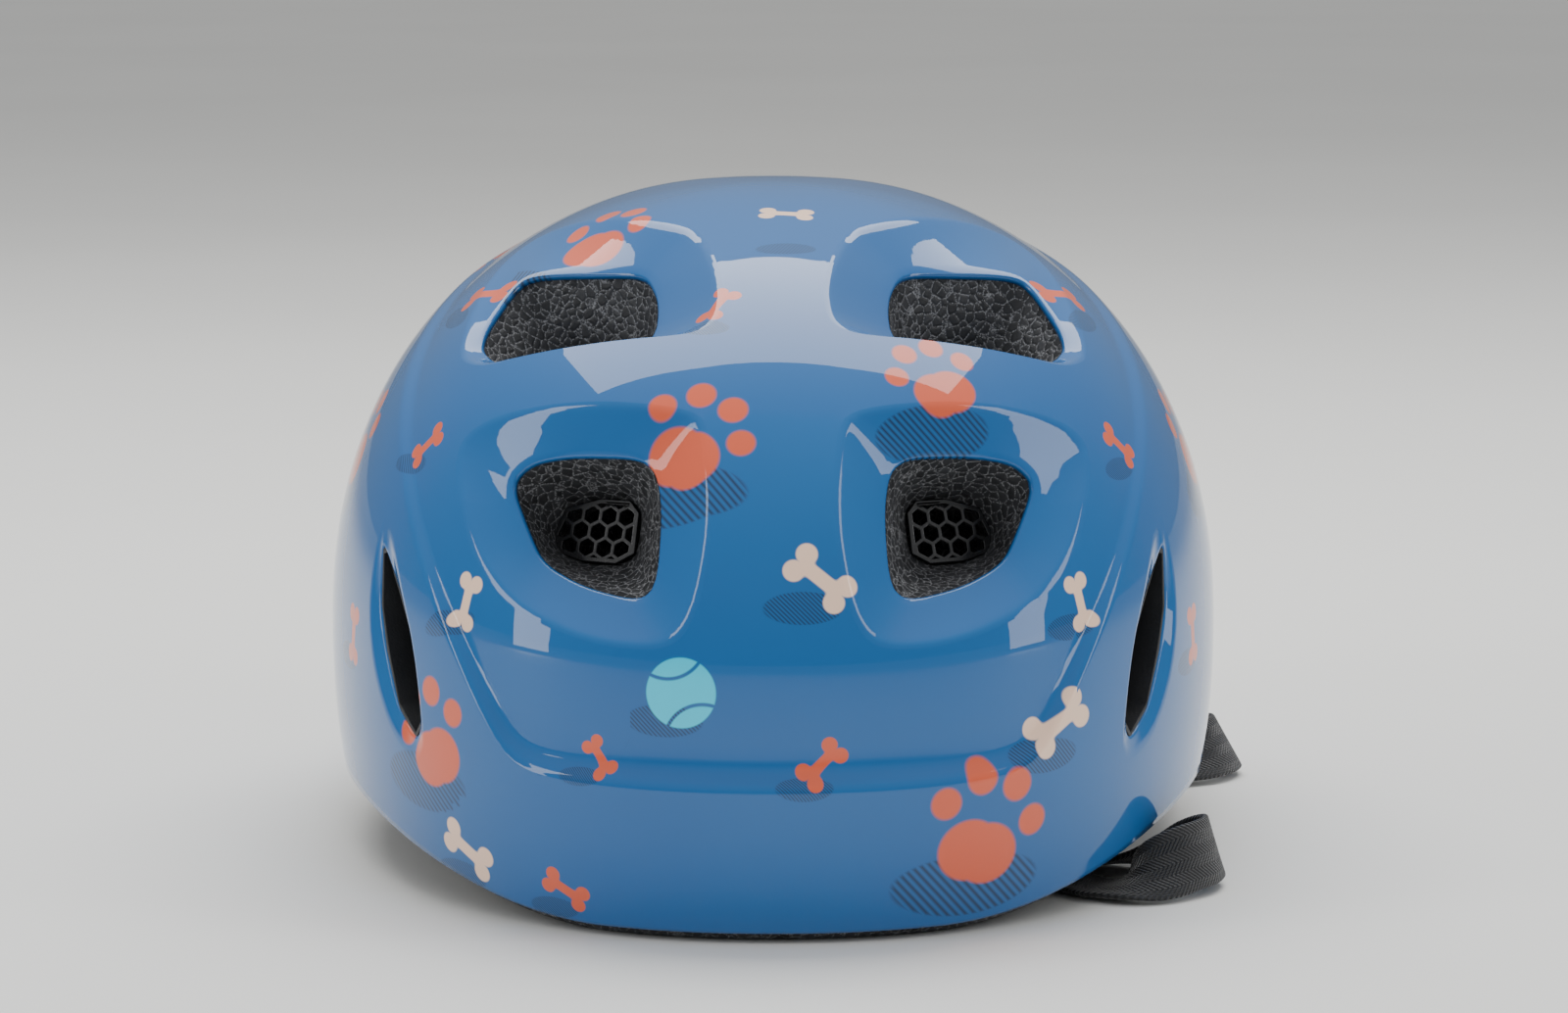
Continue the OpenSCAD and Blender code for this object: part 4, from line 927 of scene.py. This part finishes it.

# %% [markdown]
# ## Webbing
# The straps are woven polyester tape 15 mm wide, with rounded selvedges and a
# herringbone weave. Each one is a profile carried along a smooth path through
# listed points. The same paths as in the solid model are used, so the tape
# passes its anchors and loops. Its UV map runs across and along in centimetres.

# %% Tape along a path
TAPE_W, TAPE_T = 15.0, 1.4
LIE, WEB_O = TAPE_T / 2 + 0.4, 0.85 + TAPE_T / 2   # the tape's middle over the bench, and off the hollow's wall
DIV_X, DIV_Y, DIV_L = 45.0, -8.0, 30.0      # the strap dividers' middle and length

def spline(P, k):
    """Catmull-Rom through P with k steps a span: (2b + (c-a)t + (2a-5b+4c-d)t^2 + (3b-a-3c+d)t^3) / 2."""
    P = np.asarray(P, float)
    i = np.repeat(np.arange(len(P) - 1), k)
    t = np.tile(np.arange(k) / k, len(P) - 1)[:, None]
    a, b, c, d = P[np.maximum(i - 1, 0)], P[i], P[i + 1], P[np.minimum(i + 2, len(P) - 1)]
    curve = 2 * b + (c - a) * t + (2 * a - 5 * b + 4 * c - d) * t ** 2 + (3 * b - a - 3 * c + d) * t ** 3
    return np.concatenate([0.5 * curve, P[-1:]])

def along_path(name, Q, U, profile, mat, side=1, k=10):
    """A closed profile (across, out) carried along Q, its across axis turned to U less U's part along the path."""
    p, u = spline(Q, k), spline(U, k)
    tg = unit(np.concatenate([p[1:], p[-1:]]) - np.concatenate([p[:1], p[:-1]]))
    u = unit(u - tg * (u * tg).sum(1, keepdims=True))
    m = np.cross(tg, u)
    rows = p[:, None] + u[:, None] * profile[None, :, :1] + m[:, None] * profile[None, :, 1:]
    n, c = rows.shape[:2]
    length = np.r_[0, np.cumsum(np.linalg.norm(np.diff(p, axis=0), axis=1))]
    P = np.concatenate([rows.reshape(-1, 3), p[:1], p[-1:]])
    weave = np.stack(np.broadcast_arrays(profile[None, :, 0], length[:, None]), -1).reshape(-1, 2)
    uv = np.concatenate([weave, [[0, 0], [0, length[-1]]]]) / 10
    i = np.arange(n * c).reshape(n, c)
    faces = [rings(list(i)), fan(i[0], n * c, flip=True), fan(i[-1], n * c + 1)]
    P[:, 0] *= side
    return piece(name, P, faces if side > 0 else [f[:, ::-1] for f in faces], mat, uv=uv)

def tape_profile(w=TAPE_W, t=TAPE_T):
    """A flat oval: two straight faces, slightly crowned, between half-round selvedges."""
    turn = np.linspace(-np.pi / 2, np.pi / 2, 7)
    right = np.stack([w / 2 - t / 2 + np.cos(turn) * t / 2, np.sin(turn) * t / 2], -1)
    across = np.linspace(w / 2 - t / 2, -w / 2 + t / 2, 8)[1:-1]
    top = np.stack([across, np.full(6, t / 2)], -1)
    half = np.concatenate([right, top])
    return np.concatenate([half, -half])

def herringbone_tape(tree):
    # woven polyester: ribs that lean one way and then the other, dull, with painted shade in the grooves and a
    # painted highlight on the rib crests
    uv = add(tree, "UVMap", uv_map="weave")
    part = add(tree, "SeparateXYZ", uv).node.outputs
    zig = add(tree, "Math", part["X"], 0.25, operation="PINGPONG")
    lean = add(tree, "Math", part["Y"], zig, operation="ADD")
    # real picks are 0.7 mm apart; drawn at 1 mm so that they show
    rib = add(tree, "Math", add(tree, "Math", lean, 62.8, operation="MULTIPLY"), operation="SINE")
    thread = add(tree, "Math", add(tree, "Math", part["X"], 110.0, operation="MULTIPLY"), operation="SINE")
    height = add(tree, "Math", rib, add(tree, "Math", thread, 0.35, operation="MULTIPLY"), operation="ADD")
    fuzz = add(tree, "TexNoise", points_of(tree), 1500.0, 2.0)
    # tone follows the weave's height: painted shade in the grooves, painted highlight on the crests, and a random
    # fuzz
    groove_shade_and_fuzz = add(tree, "MapRange", add(tree, "Math", height, fuzz, operation="ADD"), -1.2, 2.2, 0.0, 1.0)
    tone = add(tree, "Mix", {"Factor": groove_shade_and_fuzz, 6: linear("#0b0c0d"), 7: linear("#2a2b2e")}, data_type="RGBA")
    bump = add(tree, "Bump", {"Strength": 0.8, "Distance": 0.00018, "Height": height})
    return add(tree, "BsdfPrincipled",
        {"Base Color": tone, "Roughness": 0.62, "Sheen Weight": 0.25, "Sheen Roughness": 0.4, "Normal": bump})

TAPE = material("herringbone_tape", herringbone_tape)
print("tape section:", len(tape_profile()), "points")

# %% Strap paths
def tangent(a):
    return unit(wall(a + 1, 20) - wall(a - 1, 20))

def hanging(a):
    return [wall(a, z, WEB_O) for z in (47, 32, 22)]

def up(edge, k):
    """Height of the tape's middle where its lower edge is at a height and it stands on edge by k."""
    return edge + TAPE_W / 2 * k

fa, ra = tangent(52), tangent(118)
front_end, rear_end = ([DIV_X, DIV_Y + side * (DIV_L / 2 - 1), LIE + 0.3] for side in (-1, 1))
front_in = hanging(52) + [wall(52, 13, WEB_O), wall(52, 6.5, WEB_O + 0.8),
    [CAV_W - 22, -47, LIE + 0.4], [49.5, -36, LIE], front_end]
front_in_u = [fa] * 5 + [[0.88, 0.48, 0], [0.9, 0.43, 0], [0.95, 0.3, 0]]
rear_in = hanging(118) + [wall(118, 6, WEB_O + 1), [CAV_W - 19, 38, LIE + 0.3], [49, 22, LIE], rear_end]
rear_in_u = [ra] * 4 + [[-0.81, 0.58, 0], [-0.9, 0.42, 0], [-0.97, 0.24, 0]]
fo, ro = HALF_W - 5, HALF_W + 9
front_out = hanging(52) + [wall(52, 13, WEB_O), wall(52, 7.5, WEB_O + 0.1), [CAV_W - 16, -60.3, 2.6],
    [CAV_W - 11, -67.5, 1.3], [fo - 23, -76, up(1.7, 0.12)], [fo - 15, -78.5, up(0.6, 0.72)],
    [fo - 7, -76, up(1.4, 0.96)], [fo - 1.5, -70.5, up(2, 0.96)], [fo, -63.5, up(1.8, 0.96)],
    [fo - 5, -58, up(0.6, 0.88)], [fo - 17, -54, up(1.2, 0.32)], [66, -46, LIE], [50.5, -36, LIE], front_end]
front_out_u = [fa] * 5 + [[0.82, 0.57, 0], [0.79, 0.61, 0], [0.59, 0.81, 0.12], [0.05, 0.65, 0.7],
    [-0.2, 0.3, 0.95], [-0.25, 0.15, 0.95], [-0.3, -0.1, 0.95], [-0.25, -0.45, 0.8], [-0.38, -0.86, 0.3],
    [-0.51, -0.86, 0], [-0.75, -0.66, 0], [-0.93, -0.37, 0]]
rear_out = hanging(118) + [wall(118, 10, WEB_O + 0.3), [CAV_W - 7.8, 49.8, 4.4], [CAV_W - 1, 49, 2.2],
    [ro - 24, 47, up(2, 0.08)], [ro - 13, 46.5, up(1.35, 0.54)], [ro - 4, 49.5, up(0.9, 0.92)],
    [ro, 57, up(1.6, 0.88)], [ro - 4, 64, up(0.8, 0.88)], [ro - 17, 63, up(1.8, 0.24)],
    [79, 52, LIE], [63, 36, LIE], [49, 21, LIE], rear_end]
rear_out_u = [ra] * 4 + [[-0.2, 0.97, 0], [0.16, 0.98, 0], [0.12, 0.99, 0.08], [-0.1, 0.8, 0.5],
    [-0.4, 0.4, 0.8], [-0.45, 0, 0.8], [-0.2, -0.5, 0.75], [0.35, -0.88, 0.25], [0.64, -0.76, 0],
    [0.72, -0.7, 0], [0.86, -0.51, 0], [0.97, -0.26, 0]]
# height of the buckle halves' slits, and where the two halves lie
SLIT, M_X, M_Y, F_X, F_Y = 4.3, 14.0, -52.0, 16.0, 46.0
chin_start = [DIV_X - TAPE_W / 2 + 4, DIV_Y, LIE + 0.3]
chin_l = [chin_start, [27, DIV_Y, LIE], [17, -12, LIE], [M_X, -21, LIE], [M_X, -34, LIE], [M_X, -41, LIE + 0.3],
    [M_X, M_Y + 4, SLIT - 0.4], [M_X, M_Y - 4, SLIT]]
chin_l_u = [[0, 1, 0], [0, 1, 0], [-0.77, 0.64, 0]] + [[-1, 0, 0]] * 5
chin_r = [chin_start, [28, DIV_Y, LIE], [F_X + 3, -3, LIE], [F_X, 8, LIE], [F_X, 30, LIE],
    [F_X, F_Y - 4, SLIT - 0.4], [F_X, F_Y + 4, SLIT]]
chin_r_u = [[0, 1, 0], [0, 1, 0], [0.8, 0.6, 0]] + [[1, 0, 0]] * 4
STRAPS = [("strap_front_right", front_out, front_out_u, 1), ("strap_rear_right", rear_out, rear_out_u, 1),
    ("strap_front_left", front_in, front_in_u, -1), ("strap_rear_left", rear_in, rear_in_u, -1),
    ("chin_strap_left", chin_l, chin_l_u, -1), ("chin_strap_right", chin_r, chin_r_u, 1)]
for node, Q, U, side_of in STRAPS:
    tape = along_path("tape_" + node, Q, U, tape_profile(), TAPE, side_of)
    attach(tape, "helmet")
    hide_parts(node)
print(len(STRAPS), "straps")

# %% [markdown]
# ## Elastic keeper
# A small ring of knitted elastic holds the strap's free end to the strap. It is
# a flat oval loop with its own wall, and it slides along the tape.

# %% Keeper
def loop_band(name, centre, w, h, wide, thick, mat):
    """A band round a stadium path w by h, of a section wide by thick with rounded edges."""
    n_path, n_sec = 64, 12
    t = np.linspace(0, 2 * np.pi, n_path, endpoint=False)
    path = np.stack([power(np.cos(t), 0.35) * w / 2, power(np.sin(t), 0.6) * h / 2], -1)
    out = np.roll(path, -1, 0) - np.roll(path, 1, 0)
    out = unit(np.stack([out[:, 1], -out[:, 0]], -1))
    s = np.linspace(0, 2 * np.pi, n_sec, endpoint=False)
    sec = np.stack([power(np.cos(s), 0.4) * wide / 2, power(np.sin(s), 0.8) * thick / 2], -1)
    P = np.empty((n_path, n_sec, 3))
    P[..., 0] = centre[0] + path[:, None, 0] + out[:, None, 0] * sec[None, :, 1]
    P[..., 2] = centre[2] + path[:, None, 1] + out[:, None, 1] * sec[None, :, 1]
    P[..., 1] = centre[1] + sec[None, :, 0]
    i = np.arange(n_path * n_sec).reshape(n_path, n_sec)
    Q = rings([*i, i[0]])
    uv = np.stack(np.broadcast_arrays(sec[None, :, 0], t[:, None] * 6), -1).reshape(-1, 2) / 10
    return piece(name, P.reshape(-1, 3), [Q], mat, uv=uv)

keep_low, keep_high = (np.array(c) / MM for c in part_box("strap_keeper"))
middle, size = (keep_low + keep_high) / 2, keep_high - keep_low
keeper = loop_band("elastic_keeper", middle, size[0] - 1.1, size[2] - 0.75, size[1], 0.7, TAPE)
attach(keeper, "keeper")
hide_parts("strap_keeper")
print("keeper", size.round(1))

# %% [markdown]
# ## Pads
# Each pad is a strip of open foam between two layers of brushed nylon, pressed
# together round its edge. It starts as a crowned slab on the liner's wall, a
# little too small. Cloth with inner pressure then blows it up against its own
# skin, which gives the uneven fullness that a formula misses. The pressed rim
# comes after, because remeshing would lose it.

# %% Slab shapes
def pad_slab(name, place, thick, mat, n_round=64, n_in=9, corner=3.2):
    """A closed pad over the square -1..1: rings r of a superellipse, top at thick (1 - 0.72 r^5), bottom flat."""
    t = np.linspace(0, 2 * np.pi, n_round, endpoint=False)
    e = 2 / corner
    q = np.stack([power(np.cos(t), e), power(np.sin(t), e)], -1)
    r = np.linspace(0, 1, n_in + 1)[1:]
    bottom = np.concatenate([q * k for k in r[:-1]])
    low = np.r_[np.zeros(len(bottom)), np.full(n_round, 0.12 * thick)]
    top_r = r[::-1]
    top = np.concatenate([q * k for k in top_r])
    high = np.repeat(thick * (1 - 0.72 * top_r ** 5), n_round)
    S = np.concatenate([bottom, q, top, [[0, 0], [0, 0]]])
    H = np.r_[low, high, 0, thick]
    P = place(S[:, 0], S[:, 1], H)
    n = len(r) + len(top_r)
    i = np.arange(n * n_round).reshape(n, n_round)
    Q = rings(list(i))
    faces = [Q, fan(i[0], n * n_round, flip=True), fan(i[-1], n * n_round + 1)]
    a, b, d = P[Q[:, 0]], P[Q[:, 1]], P[Q[:, 3]]
    if ((a - P.mean(0)) * np.cross(b - a, d - a)).sum() < 0:      # drawn inside out
        faces = [f[:, ::-1] for f in faces]
    return piece(name, P, faces, mat), lambda h, k=1.0: place(q[:, 0] * k, q[:, 1] * k, np.full(n_round, h))

def stretched(surface, u0, u1, v0, v1, o):
    """A place for pad_slab: its square over u0..u1 and v0..v1 of a surface, lying o off it."""
    return lambda s, t, h: surface((u0 + u1) / 2 + s * (u1 - u0) / 2, (v0 + v1) / 2 + t * (v1 - v0) / 2, o + h)

def brushed_nylon(tree):
    # warp-knit nylon with a raised nap: dark, with a soft pale bloom at grazing angles
    where = points_of(tree)
    nap = add(tree, "TexNoise", where, 900.0, 4.0)
    # real stitches are about half a millimetre apart; drawn at 1 mm so that they show
    knit = add(tree, "TexVoronoi", where, 1000.0, feature="F1")
    tone = add(tree, "Mix", {"Factor": nap, 6: linear("#0e0f11"), 7: linear("#26272b")}, data_type="RGBA")
    height = add(tree, "Math", nap, knit, operation="ADD")
    bump = add(tree, "Bump", {"Strength": 0.6, "Distance": 0.00025, "Height": height})
    return add(tree, "BsdfPrincipled", {"Base Color": tone, "Roughness": 0.9, "Sheen Weight": 0.5,
        "Sheen Roughness": 0.5, "Sheen Tint": linear("#8b8f96"), "Normal": bump})

NAP = material("brushed_nylon", brushed_nylon)
RING_R, RING_Y = 73.98 - 1.15 - 1.8, 13.98  # inner face of the rear cradle, about the belts' axis

def on_cradle(s, t, h):
    """Arc of 21 degrees each side of the rear, radius RING_R - 0.5 - h about (0, RING_Y), 9.6 up and down from 15."""
    a, r = s * 21 * RAD, RING_R - 0.5 - h
    return np.stack([r * np.sin(a), RING_Y + r * np.cos(a), 15 + t * 9.6], -1)

def over_tape(s, t, h):
    """A saddle over the chin tape: flat on top, its two sides drawn down past the selvedges."""
    return np.stack([F_X + s * 11.4, 20 + t * 7.6, 0.3 + 2.1 * (1 - ease((np.abs(s) - 0.7) / 0.3)) + h], -1)

PADS = {
    "brow_pad": ("helmet", stretched(wall, -42.5, 42.5, 9, 25, 4.9), 3.2),
    "crown_pad": ("helmet", stretched(roof, -11, 11, -41, 51, 2.1), 4.1),
    "crown_pad_left": ("helmet", stretched(roof, -42, -27, -27, 35, 2.3), 3.9),
    "crown_pad_right": ("helmet", stretched(roof, 27, 42, -27, 35, 2.3), 3.9),
    "side_pad_right": ("helmet", stretched(wall, 71, 95, 53, 77, 2.1), 3.3),
    "side_pad_left": ("helmet", stretched(wall, -71, -95, 53, 77, 2.1), 3.3),
    "cradle_pad": ("cradle", on_cradle, 3.3),
    "chin_pad": ("helmet", over_tape, 1.7)}
soft, rims = {}, {}
for node, (body, place, thick) in PADS.items():
    soft[node], rims[node] = pad_slab("padded_" + node, place, thick, NAP)
print(len(soft), "slabs")

# %% Inflate
def settle(objs, voxel, cap, frames=20):
    """Remesh, blow up with Cloth, hold each point within cap of its start, and keep the result."""
    scene = bpy.context.scene
    def keep(obj):
        bpy.context.view_layer.update()
        graph = bpy.context.evaluated_depsgraph_get()
        done = bpy.data.meshes.new_from_object(obj.evaluated_get(graph))
        obj.modifiers.clear()
        obj.data = done
    for obj in objs:
        again = obj.modifiers.new("remesh", "REMESH")
        again.mode, again.voxel_size, again.use_smooth_shade = "VOXEL", voxel * MM, True
        keep(obj)
        cloth = obj.modifiers.new("cloth", "CLOTH")
        cloth.settings.use_pressure, cloth.settings.uniform_pressure_force = True, 4
        cloth.settings.effector_weights.gravity = 0
        cloth.collision_settings.use_collision = False
        cloth.point_cache.frame_start, cloth.point_cache.frame_end = 1, frames
    for frame_number in range(1, frames + 1):
        scene.frame_set(frame_number)
    for obj in objs:
        start = np.empty(len(obj.data.vertices) * 3)
        obj.data.vertices.foreach_get("co", start)
        keep(obj)
        end = np.empty_like(start)
        obj.data.vertices.foreach_get("co", end)
        move = (end - start).reshape(-1, 3)
        far = np.linalg.norm(move, axis=1, keepdims=True)
        # the cap is soft: cap tanh(far / cap), so that no flat spots are left
        held = start.reshape(-1, 3) + move / np.maximum(far, 1e-9) * cap * MM * np.tanh(far / (cap * MM))
        obj.data.vertices.foreach_set("co", held.ravel())
        obj.data.update()
        print(obj.name, "points", len(held), "moved up to", (far.max() / MM).round(2), "mm")
    scene.frame_set(1)

# the pads are only 3 to 4 mm thick, so the voxels and the cap are small; the
# chin pad, a thin sleeve, keeps its drawn shape
VOXEL, CAP = 2.0, 0.6
settle([p for node, p in soft.items() if node != "chin_pad"], VOXEL, CAP)
for p in soft.values():
    fine = p.modifiers.new("fine", "SUBSURF")
    fine.levels = fine.render_levels = 1

# %% Pressed rims
def tube_round(name, P, radius, mat):
    """A closed tube: a circle of 8 points in the plane across the path at each point."""
    tg = unit(np.roll(P, -1, 0) - np.roll(P, 1, 0))
    out = unit(P - P.mean(0))
    out = unit(out - tg * (out * tg).sum(1, keepdims=True))
    up_of = np.cross(tg, out)
    s = np.linspace(0, 2 * np.pi, 8, endpoint=False)[None, :, None]
    G = P[:, None] + radius * (out[:, None] * np.cos(s) + up_of[:, None] * np.sin(s))
    i = np.arange(len(P) * 8).reshape(-1, 8)
    return piece(name, G.reshape(-1, 3), [rings([*i, i[0]])], mat)

for node, (body, place, thick) in PADS.items():
    radius = 0.42 if node == "chin_pad" else 0.62
    edge = tube_round("rim_" + node, rims[node](0.18 * thick + 0.1, 1.01), radius, NAP)
    for p in (soft[node], edge):
        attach(p, body)
    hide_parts(node)
print("rims", len(rims))
